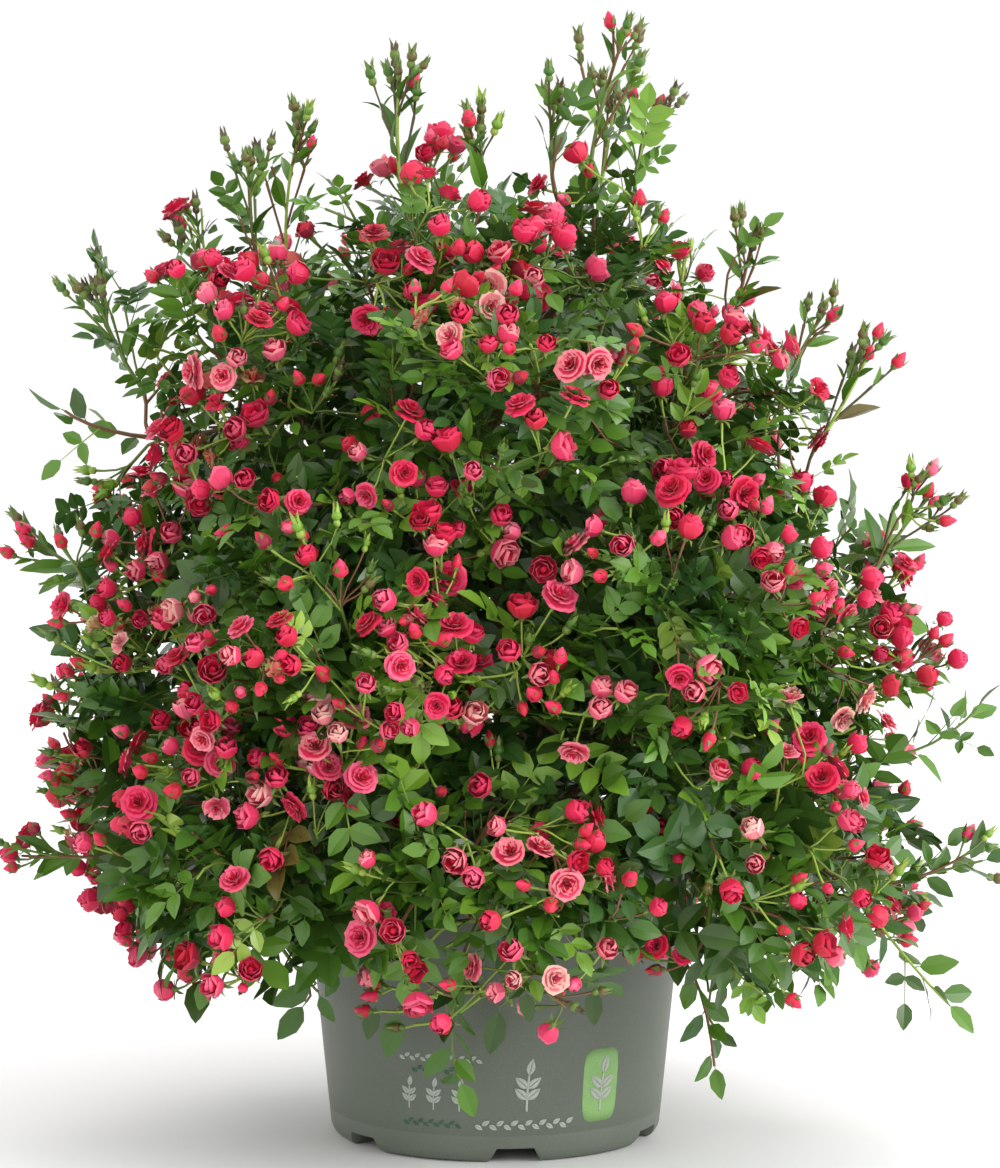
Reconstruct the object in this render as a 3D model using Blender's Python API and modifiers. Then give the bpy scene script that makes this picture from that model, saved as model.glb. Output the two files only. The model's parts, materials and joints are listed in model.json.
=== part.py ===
"""A small-flowered bush rose in its nursery pot.

The pot stands on six feet and holds potting mix. A short crown stem with a swollen head rises from the
mix, and canes leave its head and end where they enter the foliage. The crown is four rings of uneven
foliage masses, with thin sprays standing up from it and trailing out of it.

Metres, +Z up, origin on the ground at the middle of the pot's foot. A bearing is an angle round the pot,
from the front (-Y) towards the right (+X).
"""

import math

import bmesh
import bpy
from mathutils import Matrix, Vector, noise

GAP = 0.0003
WELD = 0.0001

# the pot: a tapered moulding with a shallow lip and a foot ring cut by six notches
POT_HEIGHT = 0.180
POT_RIM_RADIUS = 0.1208
POT_TAPER = math.radians(5.7)
POT_WALL = 0.0022
POT_FLOOR = 0.0023
LIP_HEIGHT = 0.010
LIP_STAND_OUT = 0.0018
HEEL_HEIGHT = 0.010
HEEL_STEPS = 4
FOOT_HEIGHT = 0.0105
FOOT_OUTER_RADIUS = 0.0955
FOOT_INNER_RADIUS = 0.0800
FOOT_DRAFT = 0.0012
NOTCH_COUNT = 6
NOTCH_FIRST_BEARING = math.radians(7)
NOTCH_HEIGHT = 0.0095
NOTCH_WIDTH_LOW = 0.0330
NOTCH_WIDTH_HIGH = 0.0230
RELIEF_HEIGHT = 0.0012
RELIEF_WIDTH = 0.0340
CUTTER_OVERRUN = 0.010
POT_STEPS = 30

MIX_BELOW_RIM = 0.014

# the crown stem: a flared, leaning stub under a swollen head
STEM_FLARE_RADIUS = 0.0160
STEM_NECK_RADIUS = 0.0105
STEM_NECK_HEIGHT = 0.010
STEM_UPRIGHT_HEIGHT = 0.004
HEAD_RADIUS = 0.0160
HEAD_HEIGHT = 0.0280
HEAD_STEPS = 6
STEM_LEAN = Vector((0.10, -0.06, 1.0))

# the canes: outer ones arch away low, inner ones climb through the open heart of the bush
CANE_BASE_RADIUS = 0.0042
CANE_TIP_RADIUS = 0.0026
CANE_STEPS = 6
CANE_TRIAL_STEPS = 160
CANE_END_GAP = 0.0008
CANE_RING = 8
OUTER_CANES = dict(count=5, first=18, rise=24, reach=0.185, height=0.315)
INNER_CANES = dict(count=3, first=60, rise=63, reach=0.045, height=0.560)

# the open heart of the bush, which no mass enters: radius at each height
HEART = ((0.166, 0.062), (0.215, 0.072), (0.260, 0.042), (0.425, 0.030))

# rings of masses: how many, the first one's bearing, then the ring's reach and height and each mass's
# half sizes across the bearing, along it and upwards
RINGS = {
    "skirt": dict(count=7, first=0, reach=0.196, height=0.192, halves=(0.098, 0.088, 0.096)),
    "belt": dict(count=6, first=30, reach=0.168, height=0.330, halves=(0.108, 0.120, 0.112)),
    "shoulder": dict(count=5, first=0, reach=0.128, height=0.462, halves=(0.098, 0.108, 0.094)),
    "top": dict(count=3, first=90, reach=0.056, height=0.540, halves=(0.072, 0.070, 0.074)),
}
SIDES = ("front", "front_right", "right", "back_right", "back", "back_left", "left", "front_left")

# what makes single masses differ from their ring: changes of reach, height and half sizes
CHANGES = {
    "skirt_front": dict(reach=-0.006, height=-0.006, halves=(0.010, -0.012, -0.010)),
    "skirt_front_right": dict(reach=0.004, halves=(0.0, 0.0, -0.002)),
    "skirt_right": dict(reach=0.008, height=-0.002, halves=(0.004, 0.0, 0.004)),
    "skirt_left": dict(reach=0.026, height=0.006, halves=(0.006, 0.004, 0.008)),
    "skirt_front_left": dict(reach=0.002, height=0.006, halves=(0.004, 0.0, -0.004)),
    "skirt_back_left": dict(height=0.008, halves=(0.0, -0.006, -0.004)),
    "skirt_back_right": dict(height=0.004, halves=(0.004, -0.002, 0.0)),
    "belt_left": dict(reach=0.020, halves=(0.0, 0.000, 0.006)),
    "belt_right": dict(reach=0.004, halves=(0.0, 0.002, 0.0)),
    "belt_back_left": dict(reach=-0.006, height=0.006),
    "shoulder_left": dict(reach=0.014, height=0.010, halves=(0.0, -0.002, 0.0)),
    "shoulder_right": dict(reach=-0.002, height=-0.010, halves=(0.0, -0.008, -0.004)),
    "top_right": dict(height=0.014, halves=(0.0, -0.004, 0.006)),
    "top_front_left": dict(reach=0.012, height=0.002, halves=(0.010, 0.0, -0.004)),
}
LUMP_DEPTH = 0.13
LUMPS_ROUND = 2.1
FURTHEST_LUMP = 1.35
MASS_SUBDIVISIONS = 3

# sprays: the tip's bearing, reach and height, the length, how far the spray leans out from upright
# (over 90 it trails downwards), and its half widths across and through
SPRAYS = {
    "spray_crest": dict(tip=(84, 0.085, 0.703), length=0.118, lean=15, halves=(0.020, 0.021)),
    "spray_crest_inner": dict(tip=(51, 0.048, 0.660), length=0.078, lean=0, halves=(0.016, 0.015)),
    "spray_crest_outer": dict(tip=(106, 0.109, 0.650), length=0.080, lean=16, halves=(0.014, 0.013)),
    "spray_peak": dict(tip=(293, 0.063, 0.675), length=0.105, lean=2, halves=(0.022, 0.024)),
    "spray_middle": dict(tip=(345, 0.042, 0.641), length=0.070, lean=4, halves=(0.013, 0.012)),
    "spray_thin": dict(tip=(256, 0.124, 0.642), length=0.100, lean=-6, halves=(0.014, 0.015)),
    "spray_far_left": dict(tip=(281, 0.156, 0.624), length=0.100, lean=6, halves=(0.014, 0.013)),
    "spray_left_high": dict(tip=(261, 0.198, 0.578), length=0.080, lean=24, halves=(0.015, 0.013)),
    "spray_shoulder_right": dict(tip=(79, 0.164, 0.572), length=0.085, lean=14, halves=(0.016, 0.017)),
    "spray_right_upper": dict(tip=(98, 0.213, 0.524), length=0.090, lean=22, halves=(0.016, 0.015)),
    "spray_right_side": dict(tip=(78, 0.240, 0.504), length=0.085, lean=30, halves=(0.014, 0.013)),
    "spray_right_edge": dict(tip=(84, 0.276, 0.411), length=0.085, lean=36, halves=(0.017, 0.016)),
    "spray_right_belt": dict(tip=(98, 0.293, 0.308), length=0.070, lean=62, halves=(0.018, 0.018)),
    "spray_left_upper": dict(tip=(277, 0.254, 0.543), length=0.085, lean=26, halves=(0.015, 0.015)),
    "spray_left_edge": dict(tip=(266, 0.304, 0.380), length=0.070, lean=58, halves=(0.018, 0.016)),
    "spray_left_leaf": dict(tip=(280, 0.278, 0.462), length=0.075, lean=72, halves=(0.012, 0.011)),
    "spray_back_crest": dict(tip=(128, 0.100, 0.664), length=0.100, lean=12, halves=(0.017, 0.015)),
    "spray_back_right": dict(tip=(146, 0.220, 0.520), length=0.078, lean=30, halves=(0.015, 0.013)),
    "spray_back_left": dict(tip=(222, 0.222, 0.545), length=0.090, lean=26, halves=(0.015, 0.013)),
    "pad_right": dict(tip=(96, 0.315, 0.268), length=0.090, lean=64, halves=(0.018, 0.017)),
    "pad_right_low": dict(tip=(84, 0.315, 0.179), length=0.080, lean=76, halves=(0.018, 0.018)),
    "pad_right_trailing": dict(tip=(74, 0.297, 0.088), length=0.090, lean=138, halves=(0.016, 0.010)),
    "pad_left_low": dict(tip=(263, 0.313, 0.168), length=0.070, lean=92, halves=(0.018, 0.018)),
    "pad_front_hanging": dict(tip=(352, 0.152, 0.052), length=0.085, lean=172, halves=(0.018, 0.010)),
    "pad_front_right": dict(tip=(52, 0.174, 0.052), length=0.080, lean=160, halves=(0.017, 0.009)),
    "pad_back": dict(tip=(186, 0.167, 0.070), length=0.080, lean=165, halves=(0.018, 0.009)),
}
SPRAY_SIDES = 6
SPRAY_BANDS = 5
SPRAY_LUMP_DEPTH = 0.14

# the plane that divides two neighbours is chosen from this many directions spread over a sphere, of
# which only those that face the neighbour count: the least cosine between the two
TRIAL_DIRECTIONS = 420
LEAST_FACING = 0.5

POT_GREY = (0.155, 0.160, 0.132)
MIX_BROWN = (0.035, 0.024, 0.016)
BARK_BROWN = (0.085, 0.060, 0.030)
LEAF_GREEN = (0.040, 0.105, 0.025)
BUD_RED = (0.300, 0.045, 0.060)


def start_scene():
    """An empty scene with one collection for the rose and one for cutters."""
    for old in list(bpy.data.objects):
        bpy.data.objects.remove(old)
    shown = bpy.data.collections.new("potted_bush_rose")
    cutters = bpy.data.collections.new("cutters")
    for collection in (shown, cutters):
        bpy.context.scene.collection.children.link(collection)
    return shown, cutters


def finish_of(obj, colour, roughness):
    """The object's own Principled material."""
    made = bpy.data.materials.new(obj.name + "_finish")
    made.use_nodes = True
    shader = made.node_tree.nodes["Principled BSDF"]
    shader.inputs["Base Color"].default_value = (*colour, 1.0)
    shader.inputs["Roughness"].default_value = roughness
    obj.data.materials.append(made)
    return obj


def mesh_object(name, builder, collection):
    """A new object from a bmesh, which is freed."""
    mesh = bpy.data.meshes.new(name)
    builder.to_mesh(mesh)
    builder.free()
    obj = bpy.data.objects.new(name, mesh)
    collection.objects.link(obj)
    return obj


def bearing_vector(bearing):
    """The level unit vector at a bearing in degrees."""
    angle = math.radians(bearing)
    return Vector((math.sin(angle), -math.cos(angle), 0.0))


def turned(name, profile, collection):
    """A profile of (radius, height) points spun round the Z axis."""
    builder = bmesh.new()
    points = [builder.verts.new((radius, 0.0, height)) for radius, height in profile]
    for above, below in zip(points, points[1:]):
        builder.edges.new((above, below))
    obj = mesh_object(name, builder, collection)
    screw = obj.modifiers.new("turn", "SCREW")
    screw.steps = POT_STEPS
    screw.render_steps = POT_STEPS
    screw.use_merge_vertices = True
    screw.merge_threshold = WELD
    screw.use_smooth_shade = False
    return obj


# ---- pot and potting mix ----


def pot_radius(height):
    """The pot wall's outside radius, lip apart."""
    return POT_RIM_RADIUS - (POT_HEIGHT - height) * math.tan(POT_TAPER)


def pot_profile():
    """From the middle of the floor inside, up the inner wall, over the lip, down outside and under."""
    floor = FOOT_HEIGHT + POT_FLOOR
    lip_foot = POT_HEIGHT - LIP_HEIGHT
    profile = [
        (0.0, floor),
        (pot_radius(floor) - POT_WALL, floor),
        (POT_RIM_RADIUS - POT_WALL, POT_HEIGHT),
        (POT_RIM_RADIUS + LIP_STAND_OUT, POT_HEIGHT),
        (pot_radius(lip_foot) + LIP_STAND_OUT, lip_foot),
        (pot_radius(lip_foot - LIP_STAND_OUT), lip_foot - LIP_STAND_OUT),
    ]
    heel_out = pot_radius(HEEL_HEIGHT) - FOOT_OUTER_RADIUS
    for step in range(HEEL_STEPS + 1):
        angle = math.pi / 2 * (1 - step / HEEL_STEPS)
        radius = FOOT_OUTER_RADIUS + heel_out * math.sin(angle)
        profile.append((radius, HEEL_HEIGHT * (1 - math.cos(angle))))
    profile.append((FOOT_INNER_RADIUS, 0.0))
    profile.append((FOOT_INNER_RADIUS - FOOT_DRAFT, FOOT_HEIGHT))
    profile.append((0.0, FOOT_HEIGHT))
    return profile


def add_wedge(builder, turn, height, width_low, width_high):
    """A wedge across the foot ring, from as far below the ground as it rises above it."""
    inner = FOOT_INNER_RADIUS - CUTTER_OVERRUN
    outer = pot_radius(HEEL_HEIGHT) + CUTTER_OVERRUN
    made = bmesh.ops.create_cube(builder, size=1.0)["verts"]
    for vert in made:
        vert.co.x *= width_high if vert.co.z > 0 else 2 * width_low - width_high
        vert.co.y = -(inner + outer) / 2 + vert.co.y * (outer - inner)
        vert.co.z = vert.co.z * 2 * height
    bmesh.ops.rotate(builder, verts=made, matrix=Matrix.Rotation(turn, 3, "Z"))


def foot_cutters(collection):
    """The notches between the feet, and a shallow relief that leaves each foot on its two ends."""
    builder = bmesh.new()
    pitch = 2 * math.pi / NOTCH_COUNT
    for number in range(NOTCH_COUNT):
        turn = NOTCH_FIRST_BEARING + number * pitch
        add_wedge(builder, turn, NOTCH_HEIGHT, NOTCH_WIDTH_LOW, NOTCH_WIDTH_HIGH)
        add_wedge(builder, turn + pitch / 2, RELIEF_HEIGHT, RELIEF_WIDTH, RELIEF_WIDTH)
    cutter = mesh_object("foot_cutters", builder, collection)
    cutter.hide_render = True
    cutter.display_type = "WIRE"
    return cutter


def build_pot(shown, cutters):
    pot = turned("pot", pot_profile(), shown)
    cut = pot.modifiers.new("feet", "BOOLEAN")
    cut.operation = "DIFFERENCE"
    cut.object = foot_cutters(cutters)
    return finish_of(pot, POT_GREY, 0.55)


def build_mix(shown):
    """The block of potting mix that fills the pot to a little below its rim."""
    low = FOOT_HEIGHT + POT_FLOOR + GAP
    high = POT_HEIGHT - MIX_BELOW_RIM
    clearance = POT_WALL + GAP
    profile = [
        (0.0, high),
        (pot_radius(high) - clearance, high),
        (pot_radius(low) - clearance, low),
        (0.0, low),
    ]
    return finish_of(turned("potting_mix", profile, shown), MIX_BROWN, 0.95)


# ---- stem and canes ----


def limb(name, points, radii, collection):
    """A tapering limb: a poly curve with a radius at each point and flat ends."""
    curve = bpy.data.curves.new(name, "CURVE")
    curve.dimensions = "3D"
    curve.bevel_depth = 1.0
    curve.bevel_resolution = 2
    curve.use_fill_caps = True
    spline = curve.splines.new("POLY")
    spline.points.add(len(points) - 1)
    for knot, place, radius in zip(spline.points, points, radii):
        knot.co = (*place, 1.0)
        knot.radius = radius
    obj = bpy.data.objects.new(name, curve)
    collection.objects.link(obj)
    return obj


def stem_line(height):
    """The point on the stem's middle line at a height above the mix: upright, then leaning."""
    foot = Vector((0.0, 0.0, POT_HEIGHT - MIX_BELOW_RIM + GAP))
    leaning = max(0.0, height - STEM_UPRIGHT_HEIGHT)
    return foot + Vector((0.0, 0.0, height - leaning)) + STEM_LEAN * leaning


def build_stem(shown):
    """A flat cut on the mix, a flare, a neck, and the swollen head, whose rings lie on a ball."""
    heights = [0.0, STEM_UPRIGHT_HEIGHT, STEM_NECK_HEIGHT]
    radii = [STEM_FLARE_RADIUS, (STEM_FLARE_RADIUS + STEM_NECK_RADIUS) / 2.2, STEM_NECK_RADIUS]
    lowest = -math.acos(STEM_NECK_RADIUS / HEAD_RADIUS) + 0.12
    highest = math.radians(78)
    for step in range(HEAD_STEPS):
        angle = lowest + (highest - lowest) * step / (HEAD_STEPS - 1)
        heights.append(HEAD_HEIGHT + HEAD_RADIUS * math.sin(angle))
        radii.append(HEAD_RADIUS * math.cos(angle))
    stem = limb("crown_stem", [stem_line(h) for h in heights], radii, shown)
    return finish_of(stem, BARK_BROWN, 0.85)


def cane_path(bearing, rise, goal):
    """A cane's trial points: it leaves the head square to it and curves over to its goal."""
    lift = math.radians(rise)
    way = bearing_vector(bearing) * math.cos(lift) + Vector((0, 0, math.sin(lift)))
    start = stem_line(HEAD_HEIGHT) + way * (HEAD_RADIUS + 2 * GAP)
    bend = start + way * (goal - start).length * 0.45
    path = []
    for step in range(CANE_TRIAL_STEPS + 1):
        t = step / CANE_TRIAL_STEPS
        path.append(start * (1 - t) ** 2 + bend * 2 * t * (1 - t) + goal * t * t)
    return path


def ring_round(path, step, radius):
    """Points round the cane at a step of its path."""
    along = (path[step + 1] - path[step]).normalized()
    side = along.orthogonal().normalized()
    ring = []
    for number in range(CANE_RING):
        turn = Matrix.Rotation(2 * math.pi * number / CANE_RING, 3, along)
        ring.append(path[step] + turn @ side * radius)
    return ring


def is_clear(point, shapes):
    """Whether a point is outside every foliage cell, by the end gap at least."""
    for shape in shapes:
        away = point - shape["centre"]
        if away.length < max(shape["halves"]) * FURTHEST_LUMP:
            if away.length < cell_radius(shape, away.normalized()) + CANE_END_GAP:
                return False
    return True


def build_cane(name, bearing, rise, goal, shapes, shown):
    """The cane ends at the last step of its path whose whole ring is clear of every mass."""
    path = cane_path(bearing, rise, goal)
    last = 0
    while last < CANE_TRIAL_STEPS - 1:
        ring = ring_round(path, last + 1, CANE_BASE_RADIUS)
        if not all(is_clear(point, shapes) for point in ring):
            break
        last += 1
    points = [path[round(last * step / CANE_STEPS)] for step in range(CANE_STEPS + 1)]
    taper = CANE_BASE_RADIUS - CANE_TIP_RADIUS
    radii = [CANE_BASE_RADIUS - taper * step / CANE_STEPS for step in range(CANE_STEPS + 1)]
    return finish_of(limb(name, points, radii, shown), BARK_BROWN, 0.75)


def build_canes(shapes, shown):
    for kind, canes in (("outer", OUTER_CANES), ("inner", INNER_CANES)):
        for number in range(canes["count"]):
            bearing = canes["first"] + 360 * number / canes["count"]
            goal = bearing_vector(bearing) * canes["reach"] + Vector((0, 0, canes["height"]))
            name = f"cane_{kind}_{number + 1}"
            build_cane(name, bearing, canes["rise"], goal, shapes, shown)


# ---- foliage: eggs, cut apart by planes and made lumpy ----


def egg(name, centre, axes, halves, form):
    """An egg is a centre, three square axes and the half size along each; planes bound its cell."""
    seed = sum(ord(letter) for letter in name)
    return dict(
        name=name, centre=centre, axes=axes, halves=halves, form=form, seed=seed, planes=[]
    )


def ring_eggs():
    """The masses of every ring, with their own changes."""
    made = []
    for ring, sizes in RINGS.items():
        for number in range(sizes["count"]):
            bearing = sizes["first"] + 360 * number / sizes["count"]
            side = SIDES[round(bearing / 45) % len(SIDES)]
            name = f"{ring}_{side}"
            change = CHANGES.get(name, {})
            out = bearing_vector(bearing)
            reach = sizes["reach"] + change.get("reach", 0.0)
            height = sizes["height"] + change.get("height", 0.0)
            grown = change.get("halves", (0.0, 0.0, 0.0))
            halves = [half + more for half, more in zip(sizes["halves"], grown)]
            axes = [out.cross(Vector((0, 0, 1))), out, Vector((0, 0, 1))]
            made.append(egg(name, out * reach + Vector((0, 0, height)), axes, halves, "mass"))
    return made


def spray_eggs():
    """Long thin eggs, each hung back from its tip along its lean."""
    made = []
    for name, spray in SPRAYS.items():
        bearing, reach, height = spray["tip"]
        out = bearing_vector(bearing)
        lean = math.radians(spray["lean"])
        along = out * math.sin(lean) + Vector((0, 0, math.cos(lean)))
        across = out.cross(Vector((0, 0, 1)))
        tip = out * reach + Vector((0, 0, height))
        wide, thick = spray["halves"]
        halves = [wide, thick, spray["length"] / 2]
        axes = [across, along.cross(across), along]
        made.append(egg(name, tip - along * spray["length"] / 2, axes, halves, "spray"))
    return made


def support(shape, direction):
    """How far an egg reaches from its centre along a unit direction."""
    parts = [half * axis.dot(direction) for half, axis in zip(shape["halves"], shape["axes"])]
    return math.sqrt(sum(part * part for part in parts))


def spread_directions(count):
    """Unit vectors spread evenly over a sphere on a golden spiral."""
    made = []
    for number in range(count):
        height = 1 - 2 * (number + 0.5) / count
        turn = number * math.pi * (3 - math.sqrt(5))
        level = math.sqrt(1 - height * height)
        made.append(Vector((level * math.cos(turn), level * math.sin(turn), height)))
    return made


def divide(first, second, directions):
    """Puts one plane between two eggs, where they overlap least, and bounds both cells with it."""
    between = second["centre"] - first["centre"]
    longest = max(first["halves"]) + max(second["halves"])
    if between.length > longest * 1.3:
        return
    trials = directions + [between.normalized()] + first["axes"] + second["axes"]
    trials += [-axis for axis in first["axes"] + second["axes"]]
    best, widest = None, -1e9
    for trial in trials:
        if trial.dot(between) < between.length * LEAST_FACING:
            continue
        room = trial.dot(between) - support(first, trial) - support(second, trial)
        if room > widest:
            best, widest = trial, room
    share = support(first, best) / (support(first, best) + support(second, best))
    apart = best.dot(between)
    first["planes"].append((best, apart * share - GAP / 2))
    second["planes"].append((-best, apart * (1 - share) - GAP / 2))


def rings_support(rings, direction):
    """The furthest that a stack of level circles round the Z axis reaches along a direction."""
    level = math.hypot(direction.x, direction.y)
    return max(radius * level + height * direction.z for height, radius in rings)


def keep_out_of(shape, rings, directions):
    """Bounds an egg's cell with the plane that clears a stack of circles and costs it least."""
    best, widest = None, -1e9
    for trial in directions:
        room = -rings_support(rings, -trial) - trial.dot(shape["centre"]) - support(shape, trial)
        if room > widest:
            best, widest = trial, room
    reach = -rings_support(rings, -best) - best.dot(shape["centre"]) - GAP
    shape["planes"].append((best, reach))


def lumpiness(shape, direction):
    """A factor near one that makes the egg uneven; a spray keeps its two ends."""
    offset = Vector((7.31, -3.77, 5.19)) * shape["seed"]
    wave = noise.noise(direction * LUMPS_ROUND + offset)
    if shape["form"] == "mass":
        return 1 + LUMP_DEPTH * 2 * wave
    middle = 1 - abs(direction.dot(shape["axes"][2])) ** 3
    return 1 + SPRAY_LUMP_DEPTH * 2 * wave * middle


def cell_radius(shape, direction):
    """How far the egg's own lumpy skin or its cell's walls let a point go from the centre."""
    parts = [axis.dot(direction) / half for half, axis in zip(shape["halves"], shape["axes"])]
    radius = lumpiness(shape, direction) / math.sqrt(sum(part * part for part in parts))
    for normal, reach in shape["planes"]:
        towards = normal.dot(direction)
        if towards > 1e-6:
            radius = min(radius, reach / towards)
    return radius


def build_egg(shape, shown):
    """A ball of faces with every point moved out to the cell's skin."""
    builder = bmesh.new()
    if shape["form"] == "mass":
        bmesh.ops.create_icosphere(builder, subdivisions=MASS_SUBDIVISIONS, radius=1.0)
    else:
        bmesh.ops.create_uvsphere(
            builder, u_segments=SPRAY_SIDES, v_segments=SPRAY_BANDS, radius=1.0
        )
    across, out, along = shape["axes"]
    for vert in builder.verts:
        local = Vector((half * part for half, part in zip(shape["halves"], vert.co)))
        way = (across * local.x + out * local.y + along * local.z).normalized()
        vert.co = shape["centre"] + way * cell_radius(shape, way)
    obj = mesh_object(shape["name"], builder, shown)
    colour = LEAF_GREEN if shape["form"] == "mass" else BUD_RED
    return finish_of(obj, colour, 0.9)


def build_foliage(shown):
    """Every mass and spray, none of which meets another, the pot or the open heart."""
    directions = spread_directions(TRIAL_DIRECTIONS)
    shapes = ring_eggs() + spray_eggs()
    rim = POT_RIM_RADIUS + LIP_STAND_OUT
    pot_rings = ((0.0, pot_radius(0.0)), (POT_HEIGHT - LIP_HEIGHT, rim), (POT_HEIGHT, rim))
    for number, shape in enumerate(shapes):
        keep_out_of(shape, pot_rings, directions)
        keep_out_of(shape, HEART, directions)
        for other in shapes[number + 1 :]:
            divide(shape, other, directions)
    for shape in shapes:
        build_egg(shape, shown)
    return shapes


def main():
    shown, cutters = start_scene()
    build_pot(shown, cutters)
    build_mix(shown)
    build_stem(shown)
    build_canes(build_foliage(shown), shown)


main()
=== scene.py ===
# %% [markdown]
# # A small-flowered bush rose in its nursery pot
# A rose in full bloom is thousands of small things on a few canes. The solids of the construction
# model say where the pot stands, where the canes run and how far each mass of foliage reaches. This
# lesson grows the real plant inside them: boughs and twigs by a seeded rule, then leaves, buds and
# blooms on the twigs. Each kind of thing is modelled once or a few times and dealt out by Geometry
# Nodes, because nobody models twenty thousand leaflets by hand.

# %% The frame
import json
import math

import bmesh
import bpy
import numpy as np
from mathutils import Matrix, Vector, noise
from mathutils.bvhtree import BVHTree

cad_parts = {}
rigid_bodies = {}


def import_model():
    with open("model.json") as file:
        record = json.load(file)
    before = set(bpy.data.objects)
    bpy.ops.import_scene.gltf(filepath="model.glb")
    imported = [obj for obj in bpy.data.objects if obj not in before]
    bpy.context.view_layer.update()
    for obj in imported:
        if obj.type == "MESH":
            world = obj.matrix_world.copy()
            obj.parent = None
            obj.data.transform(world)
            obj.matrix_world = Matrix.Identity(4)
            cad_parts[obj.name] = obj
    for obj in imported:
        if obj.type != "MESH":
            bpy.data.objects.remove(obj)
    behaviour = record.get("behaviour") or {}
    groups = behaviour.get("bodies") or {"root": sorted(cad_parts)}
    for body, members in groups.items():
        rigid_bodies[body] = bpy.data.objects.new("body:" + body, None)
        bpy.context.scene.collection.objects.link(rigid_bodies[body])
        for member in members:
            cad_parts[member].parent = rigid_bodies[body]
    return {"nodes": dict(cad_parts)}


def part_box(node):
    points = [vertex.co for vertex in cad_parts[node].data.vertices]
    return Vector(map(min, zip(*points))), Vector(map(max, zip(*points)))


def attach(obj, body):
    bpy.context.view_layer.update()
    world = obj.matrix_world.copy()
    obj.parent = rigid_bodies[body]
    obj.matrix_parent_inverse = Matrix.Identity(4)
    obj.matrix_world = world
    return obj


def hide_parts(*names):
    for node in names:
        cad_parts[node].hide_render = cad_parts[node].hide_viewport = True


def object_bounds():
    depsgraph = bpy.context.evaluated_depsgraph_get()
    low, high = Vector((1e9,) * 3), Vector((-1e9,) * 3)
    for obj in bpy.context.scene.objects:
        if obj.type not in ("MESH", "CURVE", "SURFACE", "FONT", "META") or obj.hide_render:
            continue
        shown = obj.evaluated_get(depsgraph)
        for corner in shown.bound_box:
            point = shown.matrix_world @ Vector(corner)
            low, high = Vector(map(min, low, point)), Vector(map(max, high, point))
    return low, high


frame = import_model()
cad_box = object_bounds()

nodes = frame["nodes"]
rng = np.random.default_rng(20)
norm = np.linalg.norm
MM = 0.001
UP = np.array((0.0, 0.0, 1.0))
print("solids in the frame:", len(nodes))

# %% [markdown]
# ## Camera
# A long lens from a few metres away flattens the plant as a catalogue portrait does: near and far
# leaves come out at nearly one scale. The camera stands a little above the crown's middle and looks
# slightly down, so the pot's foot reads as an arc.

# %% The camera
CAMERA_PLACE = Vector((0.003, -3.5, 0.74))
CAMERA_AIM = Vector((0.003, 0.0, 0.3466))
LENS_MM = 173.7
VIEW_WIDTH, VIEW_HEIGHT = 1000, 1168


def new_object(name, data):
    """An object with this data, in the scene."""
    made = bpy.data.objects.new(name, data)
    bpy.context.scene.collection.objects.link(made)
    return made


def aim(thing, place):
    """Stands a camera or a light at a place, looking at the plant's middle."""
    thing.location = place
    thing.rotation_euler = (CAMERA_AIM - Vector(place)).to_track_quat("-Z", "Y").to_euler()


camera = new_object("camera", bpy.data.cameras.new("camera"))
camera.data.lens = LENS_MM
aim(camera, CAMERA_PLACE)
bpy.context.scene.camera = camera
print("camera looks from", tuple(camera.location))

# %% [markdown]
# ## Studio light
# Large soft boxes wrap round the leaves and leave no hard shadows. The main one stands high in front
# to the right, a weaker one fills from the left, a low one brightens the right flank, one behind rims
# the back of the crown, and a pale world fills the rest. The floor is a plain pale sheet, wide enough to
# reach past the horizon.

# %% Lights and floor
WORLD_STRENGTH = 1.1
SOFT_BOXES = {
    "key": dict(place=(2.5, -2.2, 2.2), size=1.6, power=60.0),
    "fill": dict(place=(-2.0, -2.6, 1.6), size=1.8, power=4.0),
    "side": dict(place=(2.7, -0.4, 0.95), size=1.3, power=21.0),
    "back": dict(place=(0.3, 2.6, 2.4), size=1.8, power=24.0),
}
FLOOR_RADIUS, FLOOR_COLOUR, FLOOR_ROUGHNESS = 200.0, (0.94, 0.94, 0.94), 0.8


def srgb(red, green, blue):
    """A colour given in steps from 0 to 255, as the linear values that shaders take."""
    steps = [value / 255 for value in (red, green, blue)]
    return tuple(s / 12.92 if s <= 0.04045 else ((s + 0.055) / 1.055) ** 2.4 for s in steps)


def new_material(name, colour, roughness):
    """A Principled material; returns it with its node tree and its shader."""
    made = bpy.data.materials.new(name)
    made.use_nodes = True
    shader = made.node_tree.nodes["Principled BSDF"]
    shader.inputs["Base Color"].default_value = (*colour, 1.0)
    shader.inputs["Roughness"].default_value = roughness
    return made, made.node_tree, shader


def add_soft_box(name, place, size, power):
    light = new_object(name, bpy.data.lights.new(name, "AREA"))
    light.data.size = size
    light.data.energy = power
    aim(light, place)


def set_world(strength):
    world = bpy.data.worlds.new("studio")
    world.use_nodes = True
    background = world.node_tree.nodes["Background"]
    background.inputs["Color"].default_value = (1.0, 1.0, 1.0, 1.0)
    background.inputs["Strength"].default_value = strength
    bpy.context.scene.world = world


def mesh_from(name, builder):
    """A mesh with what a bmesh holds; the bmesh is freed."""
    mesh = bpy.data.meshes.new(name)
    builder.to_mesh(mesh)
    builder.free()
    return mesh


def paint(piece, material):
    piece.data.materials.clear()
    piece.data.materials.append(material)
    return piece


def add_floor():
    builder = bmesh.new()
    bmesh.ops.create_circle(builder, cap_ends=True, segments=64, radius=FLOOR_RADIUS)
    floor = new_object("floor", mesh_from("floor", builder))
    paint(floor, new_material("floor_sheet", FLOOR_COLOUR, FLOOR_ROUGHNESS)[0])


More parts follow.
